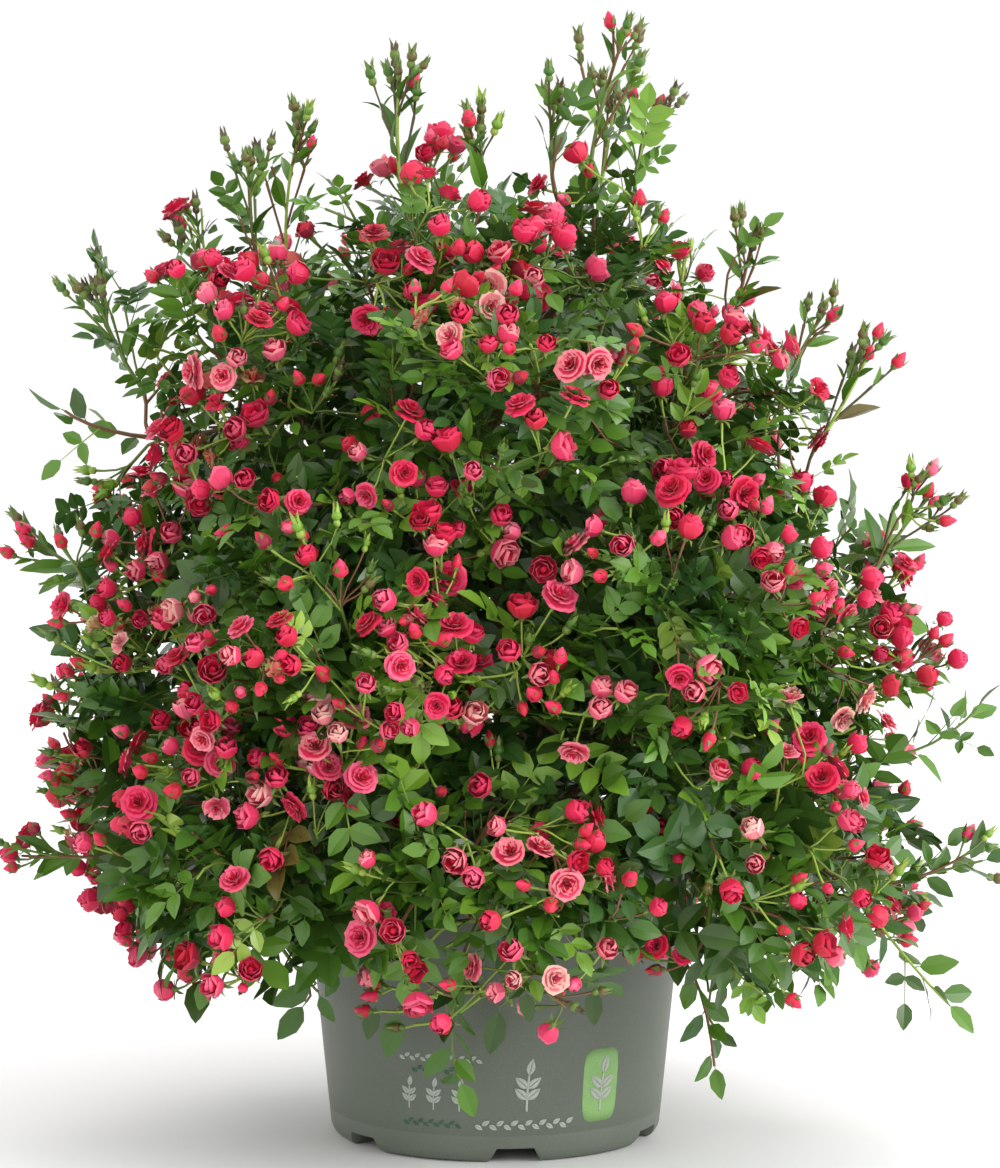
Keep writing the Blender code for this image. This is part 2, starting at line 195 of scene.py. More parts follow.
for box_name, box in SOFT_BOXES.items():
    add_soft_box(box_name, **box)
set_world(WORLD_STRENGTH)
add_floor()
bpy.context.scene.view_settings.view_transform = "Standard"
print("soft boxes:", ", ".join(SOFT_BOXES))

# %% [markdown]
# ## Two effects that several finishes share
# Moulded plastic, wet mix and bark all have a fine grain, and all are blotched by use. Each effect is a
# shader node group: built once, with named inputs, and placed in each material with its own values.
# Both read Object coordinates, so a pattern stays where it is on the piece.

# %% Shared shader groups
def start_tree(name, kind, inputs, outputs):
    """A node tree with named sockets, and its two ends. A socket is a kind, or a kind and a value."""
    tree = bpy.data.node_groups.new(name, kind)
    for direction, sockets in (("INPUT", inputs), ("OUTPUT", outputs)):
        for label, (socket_kind, *value) in sockets.items():
            socket = tree.interface.new_socket(label.replace("_", " ").capitalize(), in_out=direction,
                                               socket_type="NodeSocket" + socket_kind)
            if value:
                socket.default_value = value[0]
    return tree, *new_nodes(tree, "NodeGroupInput", "NodeGroupOutput")


def new_nodes(tree, *kinds):
    return [tree.nodes.new(kind) for kind in kinds]


def set_values(node, **values):
    """Sets a node's inputs by their names, written low with underscores."""
    for name, value in values.items():
        label = name.replace("_", " ")
        next(socket for socket in node.inputs if socket.name.lower() == label).default_value = value
    return node


def wire(tree, *wires):
    """Links, each given as a node, its output, the next node and its input."""
    for source, output, target, entry in wires:
        tree.links.new(source.outputs[output], target.inputs[entry])


def build_grain_group():
    """Fine grain: a mask for colour and roughness, and a normal that shows it as relief."""
    tree, given, result = start_tree(
        "fine_grain", "ShaderNodeTree",
        dict(grains_per_metre=("Float", 900.0), relief=("Float", 0.1), depth=("Float", 0.0002),
             stretch=("Vector", (1.0, 1.0, 1.0))),
        dict(mask=("Float",), normal=("Vector",)))
    where, stretch, grain, bump = new_nodes(
        tree, "ShaderNodeTexCoord", "ShaderNodeVectorMath", "ShaderNodeTexNoise", "ShaderNodeBump")
    stretch.operation = "MULTIPLY"
    set_values(grain, detail=3.0)
    wire(tree, (where, "Object", stretch, 0), (given, "Stretch", stretch, 1),
         (stretch, "Vector", grain, "Vector"), (given, "Grains per metre", grain, "Scale"),
         (grain, "Fac", bump, "Height"), (given, "Relief", bump, "Strength"),
         (given, "Depth", bump, "Distance"), (grain, "Fac", result, "Mask"),
         (bump, "Normal", result, "Normal"))
    return tree


def build_blotch_group():
    """Soft blotches: one mask, from 0 to 1, with an edge as soft as is asked."""
    tree, given, result = start_tree(
        "soft_blotches", "ShaderNodeTree",
        dict(blotches_per_metre=("Float", 20.0), low=("Float", 0.35), high=("Float", 0.65)),
        dict(mask=("Float",)))
    where, patch, spread = new_nodes(
        tree, "ShaderNodeTexCoord", "ShaderNodeTexNoise", "ShaderNodeMapRange")
    set_values(patch, detail=4.0)
    wire(tree, (where, "Object", patch, "Vector"), (given, "Blotches per metre", patch, "Scale"),
         (patch, "Fac", spread, "Value"), (given, "Low", spread, "From Min"),
         (given, "High", spread, "From Max"), (spread, "Result", result, "Mask"))
    return tree


fine_grain = build_grain_group()
soft_blotches = build_blotch_group()
print("shader groups:", fine_grain.name, soft_blotches.name)

# %% [markdown]
# ## Finishes of the pot, the mix and the bark
# The pot is satin moulded plastic, an olive grey with a very fine grain. The mix is dark and crumbly,
# with paler fibres. Old rose bark is brown with grey and green in it. One function makes all three,
# and later the inks: two colours mixed by blotches, a third by grain, and roughness by the grain.

# %% Grained materials
GRAIN_EDGES = dict(from_min=0.5, from_max=0.72)


def place_group(tree, group, **values):
    node = tree.nodes.new("ShaderNodeGroup")
    node.node_tree = group
    return set_values(node, **values)


def map_mask(tree, mask, **ends):
    """A mask spread between other ends."""
    node = set_values(tree.nodes.new("ShaderNodeMapRange"), **ends)
    tree.links.new(mask, node.inputs["Value"])
    return node.outputs["Result"]


def mix_colours(tree, mask, first, second):
    """A Mix node between two colours; first may be a colour or another node's output."""
    mix = tree.nodes.new("ShaderNodeMix")
    mix.data_type = "RGBA"
    if isinstance(first, bpy.types.NodeSocket):
        tree.links.new(first, mix.inputs["A"])
    else:
        mix.inputs["A"].default_value = (*first, 1.0)
    mix.inputs["B"].default_value = (*second, 1.0)
    tree.links.new(mask, mix.inputs["Factor"])
    return mix.outputs["Result"]


def grained_material(name, base, blotch, fleck, roughness, grain, blotches):
    """Colour mixed by blotches and grain, with relief and roughness from the grain."""
    made, tree, shader = new_material(name, base, roughness[0])
    grains = place_group(tree, fine_grain, **grain)
    patches = place_group(tree, soft_blotches, **blotches)
    mask = grains.outputs["Mask"]
    colour = mix_colours(tree, patches.outputs["Mask"], base, blotch)
    colour = mix_colours(tree, map_mask(tree, mask, **GRAIN_EDGES), colour, fleck)
    tree.links.new(colour, shader.inputs["Base Color"])
    rough = map_mask(tree, mask, to_min=roughness[0], to_max=roughness[1])
    tree.links.new(rough, shader.inputs["Roughness"])
    tree.links.new(grains.outputs["Normal"], shader.inputs["Normal"])
    return made


pot_plastic = grained_material(
    "moulded_plastic", srgb(102, 109, 97), srgb(94, 101, 90), srgb(110, 117, 104), (0.42, 0.58),
    dict(grains_per_metre=1400.0, relief=0.25, depth=0.00006),
    dict(blotches_per_metre=9.0, low=0.3, high=0.7),
)
mix_crumb = grained_material(
    "potting_crumb", srgb(44, 34, 26), srgb(66, 50, 36), srgb(104, 82, 58), (0.85, 1.0),
    dict(grains_per_metre=420.0, relief=0.9, depth=0.0012),
    dict(blotches_per_metre=70.0, low=0.4, high=0.62),
)
rose_bark = grained_material(
    "rose_bark", srgb(96, 74, 48), srgb(88, 92, 54), srgb(142, 122, 92), (0.6, 0.9),
    dict(grains_per_metre=700.0, relief=0.8, depth=0.0005, stretch=(1.0, 1.0, 0.22)),
    dict(blotches_per_metre=60.0, low=0.42, high=0.66),
)
print("materials so far:", len(bpy.data.materials))

# %% [markdown]
# ## Plain colours for leaf, stalk and petal
# A leaf or a petal is a few faces among hundreds of thousands, so its colour can't be a pattern. Each
# colour is a plain material, and the colours are dealt out by spray: young shoots light or bronze, shoots
# deep inside the bush darker as painted shade, each cluster of blooms its own pink. The sheen differs
# too: rose leaves are glossy, petals are soft.

# %% Plain colours
LEAF_TONES = {
    "leaf_deep": (59, 90, 31), "leaf_blue": (62, 101, 44), "leaf_dark": (69, 110, 33),
    "leaf_mid": (89, 133, 39), "leaf_bright": (116, 159, 48), "leaf_young": (147, 179, 70),
    "leaf_bronze": (100, 92, 42),
}
STALK_TONES = {
    "stalk_lime": (152, 178, 74), "stalk_green": (104, 128, 54), "stalk_red": (122, 84, 54),
    "stalk_brown": (90, 78, 50),
}
PETAL_TONES = {
    "petal_crimson": (210, 14, 60), "petal_hot": (228, 24, 80), "petal_rose": (232, 52, 100),
    "petal_red": (196, 14, 46), "petal_deep": (150, 18, 50), "petal_pink": (236, 92, 126),
    "petal_pale": (238, 134, 144), "petal_blush": (242, 182, 170), "petal_salmon": (216, 92, 82),
    "petal_spent": (204, 146, 100), "petal_cream": (232, 216, 160),
}


def plain_materials(tones, roughness, sheen=0.0):
    made = {}
    for name, tone in tones.items():
        material, _, shader = new_material(name, srgb(*tone), roughness)
        shader.inputs["Sheen Weight"].default_value = sheen
        made[name] = material
    return made


materials = plain_materials(LEAF_TONES, 0.33)
materials.update(plain_materials(STALK_TONES, 0.5))
materials.update(plain_materials(PETAL_TONES, 0.5, 0.1))
print("plain colours:", len(materials))

# %% [markdown]
# ## The pot
# A pot is turned: one profile, spun round the axis. The outline here is finer than the construction
# solid's: a rolled lip, a step line above the foot, and a rounded heel.

# %% Turning the pot
POT_HEIGHT = 0.180
RIM_RADIUS = 0.1208
TAPER = math.radians(5.7)
WALL = 0.0022
FLOOR_TOP = 0.0128
LIP_DEPTH, LIP_OUT, LIP_SLOPE, LIP_START = 0.010, 0.0018, 0.001, 0.8
OUTER_ROUND, INNER_ROUND = 0.0012, 0.0009
STEP_HEIGHT, STEP_IN, PLAIN_ABOVE_STEP = 0.0172, 0.0004, 0.012
STEP_LINE = ((-0.0012, 0.0), (0.0, STEP_IN), (0.0005, STEP_IN), (0.0012, 0.0))
HEEL_HEIGHT, FOOT_OUT, FOOT_IN, FOOT_SLOPE = 0.010, 0.0955, 0.0800, 0.0012
FOOT_HEIGHT = 0.0105
POT_SEGMENTS = 132


def mesh_piece(name, points, faces):
    """A new object at the origin from plain lists of points and faces."""
    mesh = bpy.data.meshes.new(name)
    mesh.from_pydata([tuple(point) for point in points], [], faces)
    mesh.update()
    mesh.shade_smooth()
    return new_object(name, mesh)


def turned(name, profile, segments):
    """A profile of (radius, height), from the axis and back to it, spun into a closed mesh."""
    points, rings = [], []
    for radius, height in profile:
        if radius < 1e-6:
            rings.append([len(points)] * segments)
            points.append((0.0, 0.0, height))
            continue
        rings.append(list(range(len(points), len(points) + segments)))
        for number in range(segments):
            angle = 2 * math.pi * number / segments
            points.append((radius * math.cos(angle), radius * math.sin(angle), height))
    faces = []
    for below, above in zip(rings, rings[1:]):
        for i in range(segments):
            j = (i + 1) % segments
            corners = [below[i], below[j], above[j], above[i]]
            faces.append(list(dict.fromkeys(corners)))
    return mesh_piece(name, points, faces)


def wall_radius(height):
    return RIM_RADIUS - (POT_HEIGHT - height) * math.tan(TAPER)


def arc(centre, radius, first, last, steps):
    """Points of an arc in (radius, height), between two angles in degrees."""
    angles = np.radians(np.linspace(first, last, steps + 1))
    return [(centre[0] + radius * math.cos(a), centre[1] + radius * math.sin(a)) for a in angles]


def pot_outline():
    """Under the floor, round the foot, up the outside, over the lip and down the inside."""
    lip_low = POT_HEIGHT - LIP_DEPTH
    heel = wall_radius(HEEL_HEIGHT) - FOOT_OUT
    points = [(0.0, FOOT_HEIGHT), (FOOT_IN - FOOT_SLOPE, FOOT_HEIGHT), (FOOT_IN, 0.0)]
    for angle in np.linspace(0, math.pi / 2, 7):
        points.append((FOOT_OUT + heel * math.sin(angle), HEEL_HEIGHT * (1 - math.cos(angle))))
    for rise, inset in STEP_LINE:
        points.append((wall_radius(STEP_HEIGHT + rise) - inset, STEP_HEIGHT + rise))
    for height in np.linspace(STEP_HEIGHT + PLAIN_ABOVE_STEP, lip_low - LIP_OUT, 7):
        points.append((wall_radius(height), height))
    points.append((wall_radius(lip_low) + LIP_OUT * LIP_START, lip_low))
    points.append((wall_radius(lip_low + LIP_SLOPE) + LIP_OUT, lip_low + LIP_SLOPE))
    points += arc((RIM_RADIUS + LIP_OUT - OUTER_ROUND, POT_HEIGHT - OUTER_ROUND), OUTER_ROUND, 0, 90, 3)
    points += arc((RIM_RADIUS - WALL + INNER_ROUND, POT_HEIGHT - INNER_ROUND), INNER_ROUND, 90, 180, 3)
    return points + [(wall_radius(FLOOR_TOP) - WALL, FLOOR_TOP), (0.0, FLOOR_TOP)]


pot = turned("nursery_pot", pot_outline(), POT_SEGMENTS)
print("pot as turned:", len(pot.data.vertices), "points")

# %% [markdown]
# ## Notches between the feet
# Water drains out between the pot's feet. Wedges turned round the axis cut the notches with a Boolean,
# and flatter ones hollow each foot a little, so the pot stands on the feet's edges. A Bevel then softens
# the cut edges as a mould does, and both modifiers are made plain mesh.

# %% Cutting and softening the foot
FEET = 6
FIRST_NOTCH = math.radians(7)
NOTCH_HEIGHT, NOTCH_LOW, NOTCH_HIGH, NOTCH_DEPTH = 0.0095, 0.0330, 0.0230, 0.045
RELIEF_HEIGHT, RELIEF_WIDTH = 0.0012, 0.0340
SOFT_EDGE, SOFTEN_FROM, SHARP_FROM = 0.0004, math.radians(50), math.radians(42)


def notch_cutters():
    """One wedge for each notch and one for the shallow relief under each foot."""
    builder = bmesh.new()
    middle = (FOOT_IN + FOOT_OUT) / 2
    for number in range(2 * FEET):
        is_relief = number % 2
        height = RELIEF_HEIGHT if is_relief else NOTCH_HEIGHT
        high = RELIEF_WIDTH if is_relief else NOTCH_HIGH
        low = RELIEF_WIDTH if is_relief else 2 * NOTCH_LOW - NOTCH_HIGH
        corners = bmesh.ops.create_cube(builder, size=1.0)["verts"]
        for corner in corners:
            corner.co.x *= high if corner.co.z > 0 else low
            corner.co.y = corner.co.y * NOTCH_DEPTH - middle
            corner.co.z *= 2 * height
        turn = Matrix.Rotation(FIRST_NOTCH + number * math.pi / FEET, 3, "Z")
        bmesh.ops.rotate(builder, verts=corners, matrix=turn)
    return new_object("notch_cutters", mesh_from("notch_cutters", builder))


def make_plain(piece):
    """Turns a piece's live modifiers into its mesh, and removes them."""
    graph = bpy.context.evaluated_depsgraph_get()
    made = bpy.data.meshes.new_from_object(
        piece.evaluated_get(graph), preserve_all_data_layers=True, depsgraph=graph
    )
    piece.modifiers.clear()
    piece.data = made
    return piece


def finish_piece(piece, replaced=()):
    """What every piece needs: its body, and the solids it stands for."""
    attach(piece, "root")
    if replaced:
        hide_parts(*replaced)
    print(f"{piece.name}: {len(piece.data.polygons)} faces")
    return piece


def cut_feet(pot):
    cutter = notch_cutters()
    cut = pot.modifiers.new("notches", "BOOLEAN")
    cut.operation = "DIFFERENCE"
    cut.object = cutter
    soften = pot.modifiers.new("soften", "BEVEL")
    soften.width = SOFT_EDGE
    soften.segments = 2
    soften.limit_method = "ANGLE"
    soften.angle_limit = SOFTEN_FROM
    make_plain(pot)
    bpy.data.objects.remove(cutter)
    pot.data.shade_smooth()
    pot.data.set_sharp_from_angle(angle=SHARP_FROM)
    return paint(pot, pot_plastic)


finish_piece(cut_feet(pot), ["pot"])

# %% [markdown]
# ## A container for small shapes
# A print, a leaf or a bloom is a few sheets and tubes. All are collected in one kind of container:
# points, faces, and for each face the number of the part it belongs to, such as a blade or a stalk.
# Colours are dealt by these numbers later, so one shape can come out in many colours.

# %% Points, faces and parts
class Shape:
    """Points and faces of something small; each face knows its part."""

    def __init__(self):
        self.points, self.faces, self.parts = [], [], []

    def add(self, points, faces, part=0):
        base = len(self.points)
        self.points += [tuple(point) for point in points]
        self.faces += [[base + corner for corner in face] for face in faces]
        self.parts += [part] * len(faces)

    def add_grid(self, grid, part=0, closed=False):
        """A sheet of rows and columns of points; closed joins the last column to the first."""
        rows, columns = grid.shape[:2]
        faces = []
        for row in range(rows - 1):
            for column in range(columns if closed else columns - 1):
                beside = (column + 1) % columns
                low, high = row * columns, (row + 1) * columns
                faces.append([low + column, low + beside, high + beside, high + column])
        self.add(grid.reshape(-1, 3), faces, part)


sheet = Shape()
sheet.add_grid(np.zeros((3, 4, 3)))
print("a sheet of 3 by 4 points has", len(sheet.faces), "faces")

# %% [markdown]
# ## Prints on the wall
# The wall carries a plain printed pattern of leaves. Each leaf or line is a flat patch laid out across
# and up, then wrapped onto the tapered wall a hair outside it, and given a thickness by Solidify, so it
# is a thin closed film.

# %% A film of printed patches
PRINT_LIFT, PRINT_THICKNESS, PRINT_RADIUS = 0.00035, 0.00025, 0.11
SPRIG_STEM, SPRIG_STEM_HALF, SPRIG_LEAN = 0.72, 0.022, 0.08
SPRIG_LEAF, SPRIG_LEAF_HALF, SPRIG_TIP = 0.34, 0.085, (0.52, 78)
SPRIG_PAIRS, PAIR_ANGLES = (0.24, 0.46), (38, 138)
GARLAND_LEAF, GARLAND_LEAF_HALF, GARLAND_ANGLE = 1.25, 0.33, 30
BARE_MIDRIB = 0.06


def on_wall(across, height, lift):
    radius, angle = wall_radius(height) + lift, across / PRINT_RADIUS
    return (radius * math.sin(angle), -radius * math.cos(angle), height)


class Film(Shape):
    """Patches of print; each is a grid laid out across and up, then wrapped."""

    def __init__(self, lift):
        super().__init__()
        self.lift = lift

    def add_patch(self, rows):
        self.add_grid(np.array([[on_wall(*place, self.lift) for place in row] for row in rows]))

    def add_leaf(self, foot, degrees, length, half):
        """Two half blades with a bare midrib between them."""
        angle = math.radians(degrees)
        along = np.array((math.cos(angle), math.sin(angle)))
        side = np.array((-along[1], along[0]))
        for widths in ((-1, -BARE_MIDRIB), (BARE_MIDRIB, 1)):
            self.add_patch([[
                np.array(foot) + t * length * along + width * half * math.sin(math.pi * t ** 0.8) * side
                for t in np.linspace(0.02, 0.98, 11)] for width in widths])

    def add_sprig(self, across, height, size):
        """A stem that leans a little, with a leaf at its end and pairs below."""
        lean = SPRIG_LEAN * size
        self.add_patch([[(across + width * SPRIG_STEM_HALF * size + lean * t * t, height + size * t)
                         for t in np.linspace(0, 1, 12) * SPRIG_STEM] for width in (1, -1)])
        leaf = (SPRIG_LEAF * size, SPRIG_LEAF_HALF * size)
        self.add_leaf((across + lean * SPRIG_TIP[0], height + size * SPRIG_STEM), SPRIG_TIP[1], *leaf)
        for step in SPRIG_PAIRS:
            for degrees in PAIR_ANGLES:
                self.add_leaf((across + lean * step * step, height + size * step), degrees, *leaf)

    def add_garland(self, across, height, length, leaf):
        """Small leaves along a level line, turned up and down in turn."""
        for number in range(int(length / leaf)):
            self.add_leaf((across + number * leaf, height), GARLAND_ANGLE if number % 2 else -GARLAND_ANGLE,
                          GARLAND_LEAF * leaf, GARLAND_LEAF_HALF * leaf)

    def add_label(self, across, height, half, half_height):
        """A panel with well rounded corners."""
        steps = np.sin(np.linspace(-math.pi / 2, math.pi / 2, 25))
        tall = half_height * (1 - np.abs(steps) ** 5) ** 0.2
        self.add_patch([[(across + half * x, height + share * y) for x, y in zip(steps, tall)]
                        for share in np.linspace(-1, 1, 7)])

    def finish(self, name, material):
        film = mesh_piece(name, self.points, self.faces)
        shell = film.modifiers.new("thickness", "SOLIDIFY")
        shell.thickness = PRINT_THICKNESS
        shell.offset = -1.0
        finish_piece(paint(make_plain(film), material))

# %% [markdown]
# ## The pattern and its inks
# Pale sprigs and garlands of small leaves stand on the front, with one green label that bears a sprig.
# A sprig is given by where its foot is and how tall it is, and a garland by its start, length and leaf.

# %% Laying out the prints
LABEL_AT, LABEL_HALF, LABEL_HALF_HEIGHT = (0.0715, 0.046), 0.0135, 0.0230
SPRIGS = ((-0.0570, 0.0330, 0.020), (-0.0400, 0.0330, 0.020), (-0.0230, 0.0330, 0.020),
          (0.0200, 0.0330, 0.032))
PALE_GARLANDS = ((-0.0620, 0.0660, 0.054, 0.0036), (-0.0130, 0.0245, 0.066, 0.0046))
GREEN_GARLANDS = ((-0.0540, 0.0585, 0.040, 0.0036), (-0.0620, 0.0245, 0.043, 0.0036))
SPRIG_ON_LABEL = (LABEL_AT[0], LABEL_AT[1] - 0.017, 0.034)
INK_GRAIN = dict(grains_per_metre=1400.0, relief=0.15, depth=0.00004)
INK_BLOTCHES = dict(blotches_per_metre=60.0, low=0.3, high=0.7)
INKS = {
    "pale_print": ((186, 192, 182), (174, 181, 170), (164, 170, 160), (0.45, 0.6)),
    "green_print": ((142, 184, 112), (130, 174, 102), (120, 164, 96), (0.4, 0.55)),
    "dark_green_print": ((58, 94, 74), (66, 102, 82), (74, 108, 88), (0.45, 0.6)),
}
inks = {name: grained_material(name, *(srgb(*tone) for tone in tones), roughness, INK_GRAIN, INK_BLOTCHES)
        for name, (*tones, roughness) in INKS.items()}
sprigs, garlands, label = Film(PRINT_LIFT), Film(PRINT_LIFT), Film(PRINT_LIFT - PRINT_THICKNESS)
for sprig in SPRIGS:
    sprigs.add_sprig(*sprig)
for garland in PALE_GARLANDS:
    sprigs.add_garland(*garland)
sprigs.add_sprig(*SPRIG_ON_LABEL)
for garland in GREEN_GARLANDS:
    garlands.add_garland(*garland)
label.add_label(*LABEL_AT, LABEL_HALF, LABEL_HALF_HEIGHT)
label.finish("label_print", inks["green_print"])
sprigs.finish("sprig_print", inks["pale_print"])
garlands.finish("garland_print", inks["dark_green_print"])

# %% [markdown]
# ## Potting mix
# The mix is a rough, nearly level bed. It is turned like the pot, and its top, a disc of many rings, is
# pushed up and down by noise: lumps over broad swells.

# %% A bed of mix
MIX_TOP = 0.166
MIX_RINGS, MIX_SEGMENTS = 26, 84
MIX_GAP, MIX_REST = 0.0004, 0.0003
LUMPS, SWELLS, LUMP_NOISE = (120, 0.0022), (30, 0.0015), (0.9, 2.1, 3)


def build_mix_bed():
    edge = wall_radius(MIX_TOP) - WALL - MIX_GAP
    foot = wall_radius(FLOOR_TOP) - WALL - MIX_GAP
    profile = [(0.0, FLOOR_TOP + MIX_REST), (foot, FLOOR_TOP + MIX_REST)]
    profile += [(edge * (1 - step / MIX_RINGS), MIX_TOP) for step in range(MIX_RINGS)]
    bed = turned("mix_bed", profile + [(0.0, MIX_TOP)], MIX_SEGMENTS)
    for vertex in bed.data.vertices:
        if vertex.co.z > MIX_TOP - 0.001 and vertex.co.xy.length < edge - 0.001:
            lump = noise.fractal(vertex.co * LUMPS[0], *LUMP_NOISE)
            vertex.co.z += LUMPS[1] * lump + SWELLS[1] * noise.noise(vertex.co * SWELLS[0])
    return paint(bed, mix_crumb)


bed = finish_piece(build_mix_bed(), ["potting_mix"])

# %% [markdown]
# ## Crumbs on the mix
# Crumbs of bark and peat lie on the bed. They are scattered by Geometry Nodes: points dealt over the
# surface, a lump put on each, turned and sized at random from a fixed seed. The tree makes them real
# before it gives them their material.

# %% Scattering the crumbs
CRUMBS = dict(per_square_metre=15000.0, smallest=0.0008, largest=0.0024, seed=4)
CRUMB_EDGE, CRUMB_FLATNESS = 0.006, 0.6


def crumb_shape():
    builder = bmesh.new()
    bmesh.ops.create_icosphere(builder, subdivisions=1, radius=1.0)
    for vertex in builder.verts:
        vertex.co *= 0.75 + 0.5 * rng.random()
        vertex.co.z *= CRUMB_FLATNESS
    return bpy.data.objects.new("crumb", mesh_from("crumb", builder))


def start_geometry_tree(name, **inputs):
    """A Geometry Nodes tree with geometry in and out and the named inputs."""
    inputs = {label: (kind,) for label, kind in inputs.items()}
    return start_tree(name, "GeometryNodeTree", {"geometry": ("Geometry",), **inputs},
                      {"geometry": ("Geometry",)})


def crumb_tree():
    """Points over the upward faces, a crumb on each, then one mesh with one material."""
    tree, given, result = start_geometry_tree("scatter_crumbs", crumb="Object", per_square_metre="Float",
                                              smallest="Float", largest="Float", seed="Int")
    points, crumb, size, turn, put, realise, coat = new_nodes(
        tree, "GeometryNodeDistributePointsOnFaces", "GeometryNodeObjectInfo", "FunctionNodeRandomValue",
        "FunctionNodeRandomValue", "GeometryNodeInstanceOnPoints", "GeometryNodeRealizeInstances",
        "GeometryNodeSetMaterial")
    turn.data_type = "FLOAT_VECTOR"
    set_values(turn, max=(math.tau, math.tau, math.tau))
    set_values(coat, material=mix_crumb)
    wire(tree, (given, "Geometry", points, "Mesh"), (given, "Per square metre", points, "Density"),
         (given, "Seed", points, "Seed"), (points, "Points", put, "Points"),
         (given, "Crumb", crumb, "Object"), (crumb, "Geometry", put, "Instance"),
         (given, "Smallest", size, 2), (given, "Largest", size, 3), (given, "Seed", size, "Seed"),
         (turn, "Value", put, "Rotation"), (size, 1, put, "Scale"),
         (put, "Instances", realise, "Geometry"), (realise, "Geometry", coat, "Geometry"),
         (coat, "Geometry", result, "Geometry"))
    return tree


def run_tree(piece, tree, **values):
    """Runs a piece through a tree; an input is set by its socket's identifier, found here by its name."""
    modifier = piece.modifiers.new("tree", "NODES")
    modifier.node_group = tree
    for item in tree.interface.items_tree:
        key = item.name.replace(" ", "_").lower()
        if item.item_type == "SOCKET" and item.in_out == "INPUT" and key in values:
            modifier[item.identifier] = values[key]
    return make_plain(piece)


def top_faces(piece, lowest):
    """The points and faces of a piece that lie above a height, within the pot's wall."""
    mesh = piece.data
    faces = [list(face.vertices) for face in mesh.polygons
             if face.center.z > lowest and face.center.xy.length < wall_radius(MIX_TOP) - CRUMB_EDGE]
    used = sorted({corner for face in faces for corner in face})
    place = {corner: number for number, corner in enumerate(used)}
    points = [mesh.vertices[corner].co for corner in used]
    return points, [[place[corner] for corner in face] for face in faces]


field = mesh_piece("mix_crumbs", *top_faces(bed, MIX_TOP - 0.004))
finish_piece(run_tree(field, crumb_tree(), crumb=crumb_shape(), **CRUMBS))

# %% [markdown]
# ## Stem and canes in bark
# The construction model has the stem and the canes as smooth tapered tubes. A copy of each tube's mesh
# is merged (the stored one is loose triangles), rounded by Subdivision Surface, and pushed in and out
# along its normals: long ridges down the cane, small knots at the old leaf joints.

# %% Barked limbs
RIDGE_DEPTH = 0.00045
RIDGES_ROUND, RIDGES_ALONG, RIDGE_NOISE = 4, 90, (0.8, 2.0, 3)
KNOT_EVERY, KNOT_NARROWNESS = 0.021, 12
KNOT_HEIGHT, BARK_SINK = 1.1, 0.3


def merged_copy(*names):
    """A bmesh of solids with their loose triangles joined."""
    builder = bmesh.new()
    for name in names:
        builder.from_mesh(nodes[name].data)
    bmesh.ops.remove_doubles(builder, verts=builder.verts, dist=1e-6)
    return builder


def push_bark(mesh, foot, ridge):
    """Moves each vertex along its normal by ridges and knots; foot is where the limb starts."""
    normals = [vertex.normal.copy() for vertex in mesh.vertices]
    for vertex, normal in zip(mesh.vertices, normals):
        along = (vertex.co - foot).length
        drawn_out = Vector((normal.x * RIDGES_ROUND, normal.y * RIDGES_ROUND,
                            normal.z * RIDGES_ROUND + along * RIDGES_ALONG))
        height = ridge * noise.fractal(drawn_out, *RIDGE_NOISE)
        knot = max(0.0, math.cos(math.tau * along / KNOT_EVERY)) ** KNOT_NARROWNESS
        vertex.co += normal * (height + ridge * KNOT_HEIGHT * knot - ridge * BARK_SINK)


def build_limbs():
    """The stem and the canes, each from a merged copy of its solid, as one piece."""
    points, faces = [], []
    for name in sorted(limb_names):
        limb = new_object(name + "_bark", mesh_from(name + "_bark", merged_copy(name)))
        rounding = limb.modifiers.new("round", "SUBSURF")
        rounding.levels = rounding.render_levels = 2
        make_plain(limb)
        push_bark(limb.data, Vector((0.0, 0.0, MIX_TOP)), RIDGE_DEPTH)
        base = len(points)
        points += [vertex.co.copy() for vertex in limb.data.vertices]
        faces += [[base + corner for corner in face.vertices] for face in limb.data.polygons]
        bpy.data.objects.remove(limb)
    return paint(mesh_piece("stem_and_canes", points, faces), rose_bark)


limb_names = [name for name in nodes if name.startswith(("crown_stem", "cane_"))]
finish_piece(build_limbs(), limb_names)

# %% [markdown]
# ## How far the foliage reaches
# Each mass of the construction model is a closed solid. A BVH tree of its faces answers two questions
# fast: how deep a point lies inside it, and, with all the masses in one tree, how far a point lies
# under the crown's outside. The outside is met by a ray shot inwards from well clear of the plant.

# %% Solids as inside tests
MASS_KINDS = ("skirt_", "belt_", "shoulder_", "top_")
THIN_KINDS = ("spray_", "pad_")
HEART_LOW, HEART_HIGH = 0.23, 0.40
FAR_OUT = 0.8
LITRES = 1000


def solid_tree(names):
    """A BVH tree of several solids, and their volume in cubic metres."""
    builder = merged_copy(*names)
    tree, volume = BVHTree.FromBMesh(builder), builder.calc_volume()
    builder.free()
    return tree, volume


def depth_in(tree, point):
    """How far a point lies inside a surface; below nought, how far outside it."""
    point = Vector(point)
    surface, normal, _, distance = tree.find_nearest(point)
    return distance if (point - surface).dot(normal) < 0 else -distance


def unit(way):
    return way / norm(way)


def outward(point):
    """The direction through a point, away from the upright line that is the bush's open heart."""
    way = np.array(point, float)
    way[2] -= min(max(way[2], HEART_LOW), HEART_HIGH)
    return unit(way) if norm(way) > 1e-6 else UP


def depth_under_crown(point):
    """The distance from a point straight out to the crown's outside."""
    way = Vector(outward(point))
    start = Vector(point) + way * FAR_OUT
    hit = crown_tree.ray_cast(start, -way)[0]
    return FAR_OUT - (start - hit).length if hit else 0.0


